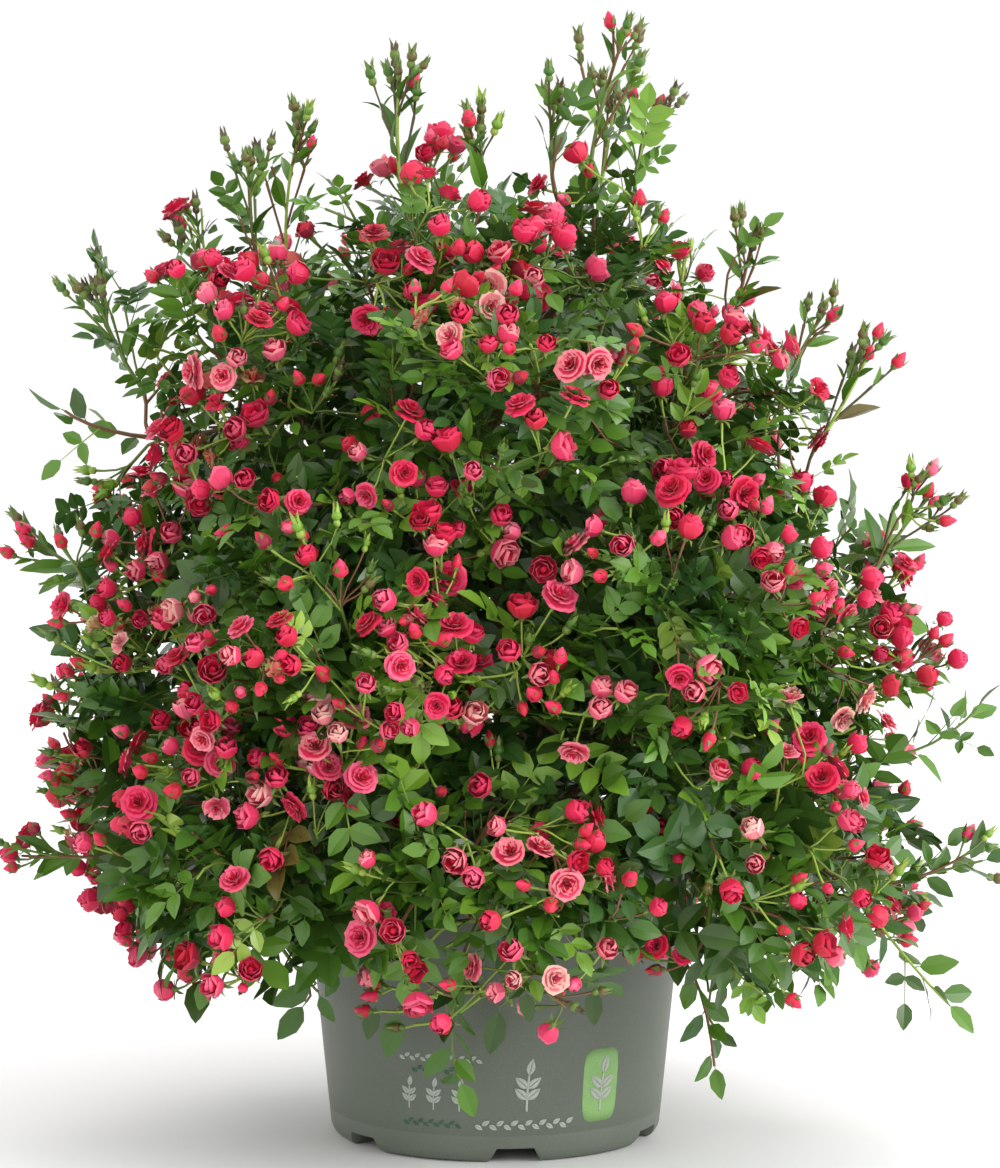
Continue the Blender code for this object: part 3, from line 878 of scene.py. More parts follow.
masses = sorted(name for name in nodes if name.startswith(MASS_KINDS))
thin_solids = sorted(name for name in nodes if name.startswith(THIN_KINDS))
solids = {name: solid_tree([name]) for name in masses}
crown_tree = solid_tree(masses)[0]
plant_tree = solid_tree(masses + thin_solids)[0]
print(f"{len(masses)} masses, {sum(volume for _, volume in solids.values()) * LITRES:.1f} litres")

# %% [markdown]
# ## The rule that grows the wood
# A shoot has a place to reach and grows there from what is already grown. It starts where its way is
# short, counted with the way back down to the stem, and where it can leave forwards and not double
# back. That one rule gives a bush's branching: boughs fan out of the heart, and shoots fork off them at
# narrow angles. Each shoot is a smooth curve between two headings, cut into short steps, and every step
# can bear the next shoot.

# %% The growing skeleton
STEP = 0.013
FAR_COUNTS, AHEAD_COUNTS, WAY_BACK_COUNTS = 1.4, 0.55, 0.25
NEAREST_START = 0.012
SHOOT_PULL = 0.65


def curve_point(t, start, leave, goal, arrive, pull):
    """The place at share t of a smooth curve that leaves and arrives with given headings."""
    return ((2 * t**3 - 3 * t**2 + 1) * start + (t**3 - 2 * t**2 + t) * pull * leave
            + (3 * t**2 - 2 * t**3) * goal + (t**3 - t**2) * pull * arrive)


class Skeleton:
    """Every point of wood that has grown, with its heading, its parent and its way back."""

    def __init__(self, room=90000):
        self.place = np.zeros((room, 3))
        self.heading = np.zeros((room, 3))
        self.back = np.zeros(room)
        self.parent = np.full(room, -1)
        self.load = np.zeros(room)
        self.shut = np.zeros(room, bool)
        self.count = 0
        self.shoots = []

    def add(self, place, heading, parent=-1):
        number = self.count
        self.place[number] = place
        self.heading[number] = unit(heading)
        self.parent[number] = parent
        if parent >= 0:
            step = norm(self.place[number] - self.place[parent])
            self.back[number] = self.back[parent] + step
        self.count += 1
        return number

    def start_for(self, goal, arrive, straight):
        """The grown point from which the way to a goal costs least; straight ways cost less."""
        gap = goal - self.place[:self.count]
        far = norm(gap, axis=1) + 1e-9
        leave = (gap * self.heading[:self.count]).sum(1) / far
        reach = gap @ arrive / far
        cost = far * (FAR_COUNTS + straight - AHEAD_COUNTS * leave - straight * reach)
        cost += WAY_BACK_COUNTS * self.back[:self.count]
        cost[self.shut[:self.count] | (far < NEAREST_START)] = np.inf
        return int(np.argmin(cost))

    def grow(self, goal, arrive, start=None, wander=0.002, kind="shoot", straight=0.35):
        """A new shoot to a goal, ending with a heading; returns its points' numbers."""
        goal, arrive = np.array(goal, float), unit(np.array(arrive, float))
        start = self.start_for(goal, arrive, straight) if start is None else start
        first, leave = self.place[start], self.heading[start]
        length = norm(goal - first)
        steps = max(2, math.ceil(length / STEP))
        line, drift = [start], rng.normal(0, wander, 3)
        for number in range(1, steps + 1):
            t = number / steps
            place = curve_point(t, first, leave, goal, arrive, SHOOT_PULL * length)
            place = place + drift * math.sin(math.pi * t)
            heading = place - self.place[line[-1]]
            line.append(self.add(place, heading, line[-1]))
        self.heading[line[-1]] = arrive
        self.shoots.append((kind, line))
        return line

    def carry_loads(self):
        """Counts how many shoot ends each point carries."""
        for _, line in self.shoots:
            number = line[-1]
            while number >= 0:
                self.load[number] += 1
                number = self.parent[number]


print("a shoot's step:", STEP / MM, "mm")

# %% [markdown]
# ## Growing on from the canes
# The skeleton begins with the canes' own middle lines, read back from the rings of points of their
# solids, so that every bough leaves a cane where the cane really is. The rings inside the stem are
# passed over, since nothing forks off there.

# %% The canes as the first wood
HIDDEN_RINGS = 3


def limb_rings(node, sides=8):
    """The middles of a limb's rings, from the stem outwards."""
    builder = merged_copy(node)
    corners = np.array([vertex.co for vertex in builder.verts])
    builder.free()
    order = np.argsort(norm(corners - (0.0, 0.0, MIX_TOP), axis=1))
    return corners[order].reshape(-1, sides, 3).mean(axis=1)


wood = Skeleton()
cane_ends = []
for name in sorted(limb_names):
    if name.startswith("cane_"):
        rings = limb_rings(name)
        grown = -1
        for ring, following in zip(rings[HIDDEN_RINGS:], rings[HIDDEN_RINGS + 1:]):
            grown = wood.add(following, following - ring, grown)
        wood.back[grown] = norm(rings[-1] - rings[0])
        cane_ends.append(grown)
print("canes to grow on from:", len(cane_ends))

# %% [markdown]
# ## Boughs and sprays
# First a bough runs from a cane's end into each mass and on towards its outer side. Then each thin
# spray gets its axis: the solid's longest direction, found from its corners, entered at the end that is
# nearer to the heart.

# %% Boughs into the masses, axes for the sprays
BOUGH_PAST_MIDDLE, BOUGH_WANDER = 0.012, 0.008
BOUGH_RISE, SKIRT_RISE = 0.35, 0.05
SPRAY_FOOT_INSET, SPRAY_TIP_INSET = 0.004, 0.010
SPRAY_WANDER, SPRAY_STRAIGHT = 0.003, 1.3


def solid_corners(node):
    return np.array([vertex.co for vertex in nodes[node].data.vertices])


def spray_axis(node):
    """The two ends of a thin solid, the one nearer the heart first, and its half width."""
    corners = solid_corners(node)
    middle = corners.mean(axis=0)
    along = np.linalg.svd(corners - middle, full_matrices=False)[2][0]
    spread = (corners - middle) @ along
    ends = [middle + along * spread.min(), middle + along * spread.max()]
    heart = np.array((0.0, 0.0, (HEART_LOW + HEART_HIGH) / 2))
    ends.sort(key=lambda end: norm(end - heart))
    across = (corners - middle) - np.outer(spread, along)
    return ends[0], ends[1], norm(across, axis=1).max()


def grow_boughs():
    for name in masses:
        middle = solid_corners(name).mean(axis=0)
        out = outward(middle)
        rise = SKIRT_RISE if name.startswith("skirt_") else BOUGH_RISE
        wood.grow(middle + out * BOUGH_PAST_MIDDLE, out + UP * rise, wander=BOUGH_WANDER, kind="bough")


def grow_spray_axes():
    axes = {}
    for name in thin_solids:
        foot, tip, half = spray_axis(name)
        way = unit(tip - foot)
        line = wood.grow(foot + way * SPRAY_FOOT_INSET, way, kind="bough", straight=SPRAY_STRAIGHT)
        line = wood.grow(tip - way * SPRAY_TIP_INSET, way, start=line[-1], wander=SPRAY_WANDER)
        axes[name] = (line, half)
        wood.shut[line[1:]] = True
    return axes


grow_boughs()
spray_axes = grow_spray_axes()
print("points of wood in the boughs:", wood.count)

# %% [markdown]
# ## Clusters of blooms
# The rose flowers in clusters at its shoots' ends. The front of the crown has its clusters where this
# plant bears them: each is given across and down the camera's 1000 by 1168 view, with how many blooms
# it holds. Some leafy shoots that stand above the outline are given too. The sides and the back get
# theirs at random.

# %% Where clusters sit on the front
FRONT_CLUSTERS = {
    "open": (
        (425, 188, 5), (508, 258, 3), (578, 272, 3), (362, 268, 7), (188, 222, 5), (158, 276, 8),
        (345, 268, 3), (392, 264, 3), (432, 254, 2), (472, 272, 5), (535, 252, 3), (150, 255, 4),
        (225, 322, 9), (202, 352, 5), (610, 335, 2), (626, 378, 4), (672, 410, 2), (712, 340, 6),
        (752, 340, 6), (545, 448, 3), (425, 512, 6), (142, 528, 8), (164, 582, 5), (690, 455, 6),
        (250, 445, 4), (372, 448, 4), (640, 520, 3), (425, 650, 4), (470, 672, 4), (330, 770, 4),
        (742, 462, 6), (776, 496, 6), (720, 535, 2), (842, 512, 4), (860, 552, 5), (395, 628, 7),
        (432, 675, 4), (485, 695, 4), (183, 742, 6), (352, 792, 3), (302, 772, 7), (302, 820, 3),
        (108, 800, 3), (80, 842, 2), (520, 860, 2), (552, 812, 3), (562, 845, 4), (566, 880, 2),
        (222, 978, 6), (498, 300, 2), (22, 840, 3), (880, 668, 3), (460, 545, 3), (690, 965, 3),
        (182, 712, 4), (176, 662, 3), (352, 928, 3), (165, 738, 5), (190, 768, 4),
    ),
    "half": (
        (262, 265, 4), (642, 180, 1), (408, 290, 4), (482, 362, 5), (528, 328, 2), (362, 458, 3),
        (452, 268, 3), (560, 258, 3), (222, 468, 2), (540, 820, 3), (572, 862, 3), (640, 545, 3),
        (453, 486, 2), (475, 530, 3), (155, 450, 6), (272, 372, 2), (184, 484, 4), (266, 486, 3),
        (116, 568, 4), (56, 608, 2), (135, 606, 5), (705, 490, 3), (775, 550, 3), (820, 545, 3),
        (812, 592, 4), (692, 626, 2), (738, 685, 5), (522, 648, 6), (442, 592, 5), (350, 716, 4),
        (466, 722, 3), (492, 760, 3), (245, 658, 5), (146, 716, 5), (206, 704, 4), (276, 800, 3),
        (445, 560, 4), (466, 830, 4), (628, 918, 2), (688, 962, 2), (378, 935, 5), (478, 985, 2),
        (170, 978, 3), (235, 912, 3), (868, 780, 4), (850, 742, 3), (838, 836, 3), (878, 868, 2),
        (778, 892, 4), (782, 948, 3), (832, 920, 2), (912, 886, 3), (140, 752, 4), (520, 262, 3),
        (918, 655, 4), (680, 322, 3), (372, 872, 3), (545, 700, 5), (150, 640, 4), (700, 400, 3),
        (735, 855, 2), (505, 668, 4),
    ),
    "pale": (
        (236, 492, 2), (548, 536, 2), (620, 548, 3), (586, 706, 5), (532, 975, 5), (572, 1008, 3),
        (606, 968, 2), (832, 756, 5), (716, 786, 2), (806, 768, 3), (325, 748, 4), (298, 788, 3),
        (455, 658, 3), (800, 850, 2),
    ),
    "spent": (
        (295, 245, 5), (478, 312, 4), (212, 428, 7), (120, 642, 5), (303, 654, 7), (828, 404, 2),
        (245, 412, 3),
    ),
    "bud": (
        (95, 455, 5), (44, 548, 4), (50, 745, 2), (926, 490, 4), (990, 850, 4), (500, 463, 2),
        (300, 560, 6), (330, 590, 5), (300, 400, 5), (660, 235, 4), (610, 470, 4), (560, 1000, 2),
        (845, 625, 4), (690, 560, 4), (420, 760, 5), (60, 690, 5), (90, 665, 4), (660, 820, 4),
    ),
}
LEAFY_OUTLINE = (
    (345, 205), (325, 222), (215, 212), (240, 232), (147, 288), (562, 150), (640, 172), (838, 585),
    (895, 712), (300, 248), (120, 300), (690, 262), (735, 270),
)
print("blooms on the front:", sum(row[2] for rows in FRONT_CLUSTERS.values() for row in rows))

# %% [markdown]
# ## From the view to the foliage
# A ray from the camera finds the crown's surface under a place in the view, so a cluster sits on the
# foliage that carries it. The ray is aimed a little inwards and down, as stalks carry the blooms out
# and up. A ray that passes the crown takes the surface nearest to it.

# %% Places on the crown
OUTLINE_RISE, OUTLINE_OUTSIDE = 0.008, 0.026
OUT_SHIFT, UP_SHIFT = 24, 9
HALF_CROWN = 380
CLUSTER_DEPTH = 0.006
OUT_SHARE, NORMAL_SHARE, UP_SHARE = 0.7, 0.35, 0.35
SENSOR_MM = 36.0
NEAR_MISSES = (3.2, 3.9, 0.01)


def view_ray(across, down):
    """The direction from the camera through a point of its view."""
    points_per_unit = LENS_MM / SENSOR_MM * VIEW_HEIGHT
    turn = camera.rotation_euler.to_matrix()
    way = Vector((across - VIEW_WIDTH / 2, VIEW_HEIGHT / 2 - down, -points_per_unit))
    return (turn @ way).normalized()


def crown_point(across, down):
    """The plant's surface under a point of the view, or the surface nearest that line of sight."""
    way = view_ray(across, down)
    hit, normal, _, _ = plant_tree.ray_cast(CAMERA_PLACE, way)
    if hit:
        return hit, normal
    near = [plant_tree.find_nearest(CAMERA_PLACE + way * distance) for distance in np.arange(*NEAR_MISSES)]
    return min(near, key=lambda found: found[3])[:2]


def new_tip(place, heading, kind, blooms=0, depth=0.0):
    """A shoot's end that is wanted; depth is how far it lies under the crown's outside."""
    return dict(place=place, heading=heading, kind=kind, blooms=blooms, depth=depth)


def front_tips():
    """Places and headings of the front's clusters."""
    tips = []
    for kind, clusters in FRONT_CLUSTERS.items():
        for across, down, blooms in clusters:
            round_by = min(max((across - VIEW_WIDTH / 2) / HALF_CROWN, -1), 1)
            surface, normal = crown_point(across - OUT_SHIFT * round_by, down + UP_SHIFT)
            place = np.array(surface - normal * CLUSTER_DEPTH)
            heading = OUT_SHARE * outward(place) + NORMAL_SHARE * np.array(normal) + UP_SHARE * UP
            tips.append(new_tip(place, heading, kind, blooms))
    return tips


def outline_tips():
    """Places and headings of leafy shoots that stand above the crown's outline."""
    tips = []
    for across, down in LEAFY_OUTLINE:
        place = np.array(crown_point(across, down)[0]) + UP * OUTLINE_RISE
        tips.append(new_tip(place, outward(place) * 0.5 + UP, "outline"))
    return tips


clusters = front_tips()
print("clusters on the front:", len(clusters))

# %% [markdown]
# ## Flower shoots that hang before the pot
# A few long flower shoots arch out of the skirt, hang to the left before the pot's wall, and fork into
# stalks. They are given across and down the view like the clusters, and lie on an upright cylinder a
# little wider than the pot's rim. The first one of a fork grows from the nearest wood, so it hangs from
# the bush, and the others grow on from it.

# %% Shoots before the pot
BEFORE_POT = 0.139
HANGING = (
    dict(path=((525, 906), (495, 917), (460, 922), (442, 929), (427, 945), (412, 957), (392, 964)), blooms=3),
    dict(path=((442, 929), (430, 925), (418, 922)), blooms=2),
    dict(path=((500, 922), (480, 931), (455, 942), (435, 953), (426, 958)), blooms=1),
    dict(path=((545, 985), (495, 990), (452, 993), (427, 997), (408, 993), (392, 988)), blooms=3),
    dict(path=((427, 997), (414, 1009), (396, 1012), (382, 1011)), blooms=1),
    dict(path=((510, 980), (480, 997), (460, 1012), (432, 1023), (414, 1025)), blooms=1),
)
HANGING_LEAVES = (
    ((398, 1008), (388, 1056)), ((376, 1002), (368, 1038)), ((500, 1006), (490, 1052)),
    ((592, 985), (594, 1024)), ((716, 1030), (736, 1046)), ((318, 992), (334, 1021)),
    ((306, 1002), (279, 1038)), ((316, 984), (272, 1004)), ((734, 954), (733, 990)),
    ((822, 952), (837, 984)), ((500, 944), (508, 982)), ((340, 972), (326, 996)),
)


def before_pot(across, down, y=None):
    """Where a line of sight meets the cylinder round the pot on its near side, or an upright sheet at y."""
    way = view_ray(across, down)
    if y is not None:
        return np.array(CAMERA_PLACE + way * (y - CAMERA_PLACE.y) / way.y)
    a, b = way.x ** 2 + way.y ** 2, CAMERA_PLACE.x * way.x + CAMERA_PLACE.y * way.y
    c = CAMERA_PLACE.x ** 2 + CAMERA_PLACE.y ** 2 - BEFORE_POT ** 2
    return np.array(CAMERA_PLACE + way * (-b - math.sqrt(max(b * b - a * c, 0.0))) / a)


def grow_hanging():
    """The hanging shoots' lines, each with how many blooms it ends in."""
    grown, seen = [], {}
    for shoot in HANGING:
        points = [before_pot(*point) for point in shoot["path"]]
        start = seen.get(shoot["path"][0])
        if start is None:
            line = wood.grow(points[0], points[1] - points[0], kind="hanging")
            start = line[-1]
        for point, following, key in zip(points[1:], points[2:] + [None], shoot["path"][1:]):
            arrive = (point - wood.place[start]) if following is None else following - wood.place[start]
            start = wood.grow(point, arrive, start=start, wander=0.0, kind="hanging")[-1]
            seen[key] = start
        grown.append(dict(line=wood.shoots[-1][1], blooms=shoot["blooms"]))
    return grown


def grow_leaf_stalks():
    """Thin stalks to the feet of the single leaves that hang low, each with where its leaf points."""
    stalks = []
    for foot, tip in HANGING_LEAVES:
        place = before_pot(*foot)
        blade = before_pot(*tip, y=place[1]) - place
        stalks.append((wood.grow(place, blade, kind="leaf_stalk"), blade))
    return stalks

# %% [markdown]
# ## Shoot ends everywhere else
# Shoot ends are thrown into the masses like darts: a dart too near another is thrown again. They are
# thick near the outside, where the light is, and thin in the dark inside. On the sides and the back,
# some of the outer ones become clusters.

# %% Darts for shoot ends
TIPS_PER_LITRE = 25.0
SPACING = 0.019
SHELL = 0.030
CHANCE_BY_DEPTH = ((0.0, 1.0), (0.03, 1.0), (0.06, 0.55), (0.10, 0.25), (0.3, 0.12))
ROUND_THE_CROWN = (-0.16, -0.06, 0.10, 0.25)
CLUSTER_CHANCES = (0.0, 0.14, 0.34, 0.46)
CLUSTER_KINDS = ("open", "half", "pale", "spent", "bud")
CLUSTER_SHARES = (0.33, 0.37, 0.08, 0.08, 0.14)
BLOOMS_IN_CLUSTER = (3, 9)
SPRAY_LOAD, PAD_LOAD = 4.0, 0.5
TIP_INSET = 0.010
TRIES = 14
TIP_RISE, LOW_DROOP, LOW_BELOW, TIP_WANDER, CLUSTER_RISE = 0.55, 0.65, 0.30, 0.28, 0.2


def throw_darts(taken):
    tips = []
    depths, chances = zip(*CHANCE_BY_DEPTH)
    for name in masses:
        low, high = (np.array(corner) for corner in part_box(name))
        inside, volume = solids[name]
        wanted = volume * LITRES * TIPS_PER_LITRE
        for _ in range(int(wanted * TRIES)):
            place = rng.uniform(low, high)
            luck = rng.random()
            if depth_in(inside, place) < TIP_INSET:
                continue
            depth = depth_under_crown(place)
            if luck > np.interp(depth, depths, chances):
                continue
            if norm(np.array(taken) - place, axis=1).min() < SPACING:
                continue
            taken.append(place)
            out = outward(place)
            low_down = max(0.0, 1 - place[2] / LOW_BELOW)
            heading = out + UP * (TIP_RISE - LOW_DROOP * low_down) + rng.normal(0, TIP_WANDER, 3)
            tips.append(new_tip(place, heading, "leafy", depth=depth))
            wanted -= 1
            if wanted <= 0:
                break
    return tips


def choose_clusters(tips):
    """Turns some outer tips into clusters: none of the front's, few of the flanks', many at the back."""
    for tip in tips:
        chance = np.interp(outward(tip["place"])[1], ROUND_THE_CROWN, CLUSTER_CHANCES)
        luck, kind = rng.random(), str(rng.choice(CLUSTER_KINDS, p=CLUSTER_SHARES))
        blooms = int(rng.integers(*BLOOMS_IN_CLUSTER))
        if tip["depth"] < SHELL and luck < chance:
            tip.update(kind=kind, blooms=blooms, heading=tip["heading"] + UP * CLUSTER_RISE)
    return tips


tips = clusters + choose_clusters(throw_darts([cluster["place"] for cluster in clusters]))
tips += outline_tips()
tips.sort(key=lambda tip: tip["depth"] - 0.25 * norm(outward(tip["place"])))
reach_back = [norm(wood.place[:wood.count] - tip["place"], axis=1).min() for tip in tips]
for number in np.argsort(reach_back, kind="stable"):
    tip = tips[number]
    tip["line"] = wood.grow(tip["place"], tip["heading"], kind=tip["kind"])
    wood.shut[tip["line"][-1]] = True
hanging = grow_hanging()
leaf_stalks = grow_leaf_stalks()
wood.carry_loads()
for name, (line, _) in spray_axes.items():
    wood.load[line] += np.linspace(SPRAY_LOAD if name.startswith("spray_") else PAD_LOAD, 0.0, len(line))
print("shoots:", len(wood.shoots), "points:", wood.count,
      "side clusters:", sum(tip["blooms"] > 0 for tip in tips) - len(clusters))

# %% [markdown]
# ## Axes and thin stalks
# A leaf or a bloom is modelled once, along its own axes, and turned when it is placed. Three directions
# say how it is turned: along it, across it and up from it. Such axes also carry the rings of a stalk.
# The numbers of a shape's parts go with it as an attribute of its faces.

# %% Axes and thin stalks
def shape_object(shape, name):
    """An object that is in no collection yet, with the faces' parts as an attribute."""
    mesh = bpy.data.meshes.new(name)
    mesh.from_pydata(shape.points, [], shape.faces)
    mesh.attributes.new("part", "INT", "FACE").data.foreach_set("value", shape.parts)
    mesh.shade_smooth()
    return bpy.data.objects.new(name, mesh)


def frame_of(forward, upper):
    """Columns along, across and up: a leaf's or a bloom's own axes in space."""
    along = unit(np.array(forward, float))
    up = np.array(upper, float)
    up = unit(up - along * (up @ along))
    return np.column_stack((along, np.cross(up, along), up))


def tube_grid(line, radii, sides):
    """Rings of points along a line, for a thin stalk modelled in a shape."""
    rings = []
    for number, (place, radius) in enumerate(zip(line, radii)):
        ahead = line[min(number + 1, len(line) - 1)] - line[max(number - 1, 0)]
        axes = frame_of(ahead, UP if abs(unit(ahead)[2]) < 0.9 else (1.0, 0.0, 0.0))
        angles = 2 * math.pi * np.arange(sides) / sides
        rings.append([place + radius * (math.cos(a) * axes[:, 1] + math.sin(a) * axes[:, 2])
                      for a in angles])
    return np.array(rings)


print("axes of a leaf that lies along X:", frame_of((1.0, 0.0, 0.0), UP).tolist())

# %% [markdown]
# ## The leaf
# A rose leaf is pinnate: a thin midstalk with a leaflet at its end and one to three pairs below. Each
# leaflet is an oval with a drawn-out tip, a toothed edge, a fold along its midrib and a droop. Sixteen
# triangles are enough for that, and a few variants of the whole leaf are enough for the plant.

# %% Leaf shapes
MIDRIB = (0.0, 0.34, 0.68, 1.0)
EDGE = (0.09, 0.25, 0.42, 0.58, 0.74, 0.89)
SIDE_FACES = ((0, 4, 1), (1, 4, 5), (1, 5, 6), (1, 6, 2), (2, 6, 7), (2, 7, 8), (2, 8, 9), (2, 9, 3))
BLADE, STALK = 0, 1
MIDSTALK, MIDSTALK_RISE, MIDSTALK_RADII = 0.66, 0.10, (0.013, 0.010, 0.008, 0.006)
LEAFLET_LENGTH, LEAFLET_GAIN, LEAFLET_WIDTHS = 0.29, 0.035, (0.27, 0.32)
LEAFLET_LEANS, LEAFLET_DROOPS, LEAFLET_FOLDS = (50, 68), (0.05, 0.22), (0.12, 0.4)
END_LEAFLET, BRACT_STALK = (0.36, 0.30), 0.12


def add_leaflet(shape, foot, forward, upper, length, width, droop, fold):
    """A folded, drooping oval; width is its half width over its length."""
    axes = frame_of(forward, upper)
    for side in (1, -1):
        points = [(t, 0.0, -droop * t * t) for t in MIDRIB]
        for number, t in enumerate(EDGE):
            tooth = 1.05 if number % 2 else 0.95
            wide = width * math.sin(math.pi * t ** 0.84) ** 0.86 * tooth
            points.append((t, side * wide, fold * wide - droop * t * t))
        placed = [foot + length * (axes @ np.array(point)) for point in points]
        faces = [face if side < 0 else face[::-1] for face in SIDE_FACES]
        shape.add(placed, faces, BLADE)


def leaf_shape(pairs, bend, lean, dice):
    """A whole leaf of length 1 along X, its upper side towards Z."""
    def on_midstalk(x):
        return np.array((x, lean * x * x, MIDSTALK_RISE * x - bend * x * x))

    shape, end = Shape(), MIDSTALK
    line = np.array([on_midstalk(x) for x in np.linspace(0.0, end, len(MIDSTALK_RADII))])
    shape.add_grid(tube_grid(line, MIDSTALK_RADII, 3), STALK, closed=True)
    first = 0.24 if pairs == 3 else 0.30
    for pair in range(pairs):
        x = first + (end - 0.02 - first) * pair / max(pairs - 0.45, 1)
        foot = on_midstalk(x)
        for side in (1, -1):
            angle = math.radians(dice.uniform(*LEAFLET_LEANS))
            forward = (math.cos(angle), side * math.sin(angle), dice.uniform(-0.05, 0.25))
            upper = (dice.uniform(-0.15, 0.15), -side * dice.uniform(0.0, 0.35), 1.0)
            length = (LEAFLET_LENGTH + LEAFLET_GAIN * pair) * dice.uniform(0.92, 1.08)
            add_leaflet(shape, foot, forward, upper, length, dice.uniform(*LEAFLET_WIDTHS),
                        dice.uniform(*LEAFLET_DROOPS), dice.uniform(*LEAFLET_FOLDS))
    tip_way = (1.0, 2 * lean * end, MIDSTALK_RISE - 2 * bend * end)
    add_leaflet(shape, line[-1], tip_way, UP, *END_LEAFLET, dice.uniform(0.05, 0.2),
                dice.uniform(0.12, 0.35))
    return shape


def single_leaf(dice, width, fold):
    """A leaf with one blade: narrow ones stand under a cluster, broad ones hang low."""
    shape = Shape()
    line = np.array([(0.0, 0.0, 0.0), (BRACT_STALK, 0.0, 0.01)])
    shape.add_grid(tube_grid(line, (0.02, 0.015), 3), STALK, closed=True)
    add_leaflet(shape, line[-1], (1.0, 0.0, 0.1), UP, 1 - BRACT_STALK, width, dice.uniform(0.1, 0.3), fold)
    return shape


def shape_collection(name, shapes):
    """The shapes as objects in an own collection, in the order in which they are numbered."""
    collection = bpy.data.collections.new(name)
    for number, shape in enumerate(shapes):
        collection.objects.link(shape_object(shape, f"{name}_{number:02d}"))
    return collection


LEAF_FORMS = ((2, 0.10, 0.10), (2, 0.28, -0.12), (2, 0.02, 0.05), (3, 0.18, -0.06), (3, 0.08, 0.14),
              (1, 0.12, 0.0))
LEAF_FORM_SHARES = (0.24, 0.22, 0.18, 0.14, 0.12, 0.10)
FEW, BRACT, BROAD = range(len(LEAF_FORMS) - 1, len(LEAF_FORMS) + 2)
leaf_shapes = [leaf_shape(*form, rng) for form in LEAF_FORMS]
leaf_shapes += [single_leaf(rng, 0.17, 0.4), single_leaf(rng, 0.26, 0.25)]
leaf_collection = shape_collection("leaf", leaf_shapes)
print("leaf shapes:", [len(shape.faces) for shape in leaf_shapes])

# %% [markdown]
# ## Petals and sepals
# A petal is a small sheet bent two ways: round the bloom's axis, and from its foot to its rim, where it
# rises steeply in the heart of the bloom and rolls out level at its edge. Its rim is a part of its own,
# since its colour is paler there. Sepals are five narrow green leaflets under it.

# %% Petals and sepals
OUTER, INNER, GREEN, SHEATH, RIM = range(5)
ROWS = {2: (0.0, 0.5, 1.0), 3: (0.0, 0.42, 0.82, 1.0), 4: (0.0, 0.3, 0.6, 0.86, 1.0)}


def add_petal(shape, part, turn, half, foot, length, rises, base=0.0, columns=3, rows=3, ruffle=0.04,
              spin=0.0, cut=0.16):
    """A petal from its foot radius outwards; rises are its slopes at foot and rim, in degrees."""
    fine = np.linspace(0, 1, 25)
    slopes = np.radians(rises[0] + (rises[1] - rises[0]) * fine)
    out = foot + length * np.concatenate(([0], np.cumsum(np.cos(slopes[1:])) / 24))
    up = base + length * np.concatenate(([0], np.cumsum(np.sin(slopes[1:])) / 24))
    grid = np.zeros((rows + 1, columns + 1, 3))
    for row, reach in enumerate(ROWS[rows]):
        for column in range(columns + 1):
            across = 2 * column / columns - 1
            along = reach * (1 - cut * across * across * reach)
            angle = math.radians(turn + across * half * (0.72 + 0.28 * math.sin(math.pi * reach * 0.66)))
            wave = ruffle * reach * (1 if (column + row) % 2 else -1)
            radius = np.interp(along, fine, out) + 0.6 * wave + spin * across * reach
            height = np.interp(along, fine, up) + wave
            grid[row, column] = (radius * math.cos(angle), radius * math.sin(angle), height)
    if rows > 2:
        shape.add_grid(grid[:rows], part)
        shape.add_grid(grid[rows - 1:], RIM)
    else:
        shape.add_grid(grid, part)


def add_whorl(shape, part, count, dice, wobble=8.0, first=None, **petal):
    """A ring of petals, each a little different."""
    first = dice.uniform(0, 360) if first is None else first
    for number in range(count):
        own = dict(petal)
        own["length"] = petal["length"] * dice.uniform(0.90, 1.08)
        own["rises"] = [rise + dice.uniform(-wobble, wobble) for rise in petal["rises"]]
        turn = first + 360 * number / count + dice.uniform(-wobble, wobble)
        add_petal(shape, part, turn, **own)


def add_sepals(shape, foot, base, length, rises, dice, wide=0.085):
    """Five narrow pointed leaflets round the foot of a bloom."""
    for number in range(5):
        turn = math.radians(72 * number + dice.uniform(-9, 9))
        slope = math.radians(rises[0] + dice.uniform(-10, 10))
        bend = math.radians(rises[1] + dice.uniform(-14, 14))
        size = length * dice.uniform(0.8, 1.15)
        along = np.array((math.cos(turn), math.sin(turn), 0.0))
        across = np.array((-along[1], along[0], 0.0))
        root = along * foot + UP * base
        knee = root + 0.5 * size * (along * math.cos(slope) + UP * math.sin(slope))
        tip = knee + 0.5 * size * (along * math.cos(bend) + UP * math.sin(bend))
        points = [root - across * wide * 0.8, root + across * wide * 0.8, knee + across * wide,
                  knee - across * wide, tip]
        shape.add(points, [[0, 1, 2, 3], [3, 2, 4]], GREEN)


def add_lathe(shape, part, heights, radii, sides=5, twist=0.0):
    """Rings up the axis: the green cup under a bloom, a bud's body or a bloom's core."""
    angles = 2 * math.pi * np.arange(sides) / sides
    grid = np.array([[(r * math.cos(a + twist * h), r * math.sin(a + twist * h), h) for a in angles]
                     for h, r in zip(heights, radii)])
    shape.add_grid(grid, part, closed=True)


print("a petal's rows:", ROWS)

# %% [markdown]
# ## Whole blooms and buds
# A double rose is rings of petals round a closed core. In a half-open bloom the outer ones still stand
# up like a cup, and a bud is a pointed egg in its sepals. A bloom that is going over is crumpled and
# loose. Each kind comes in a few forms, which the seed varies a little more.

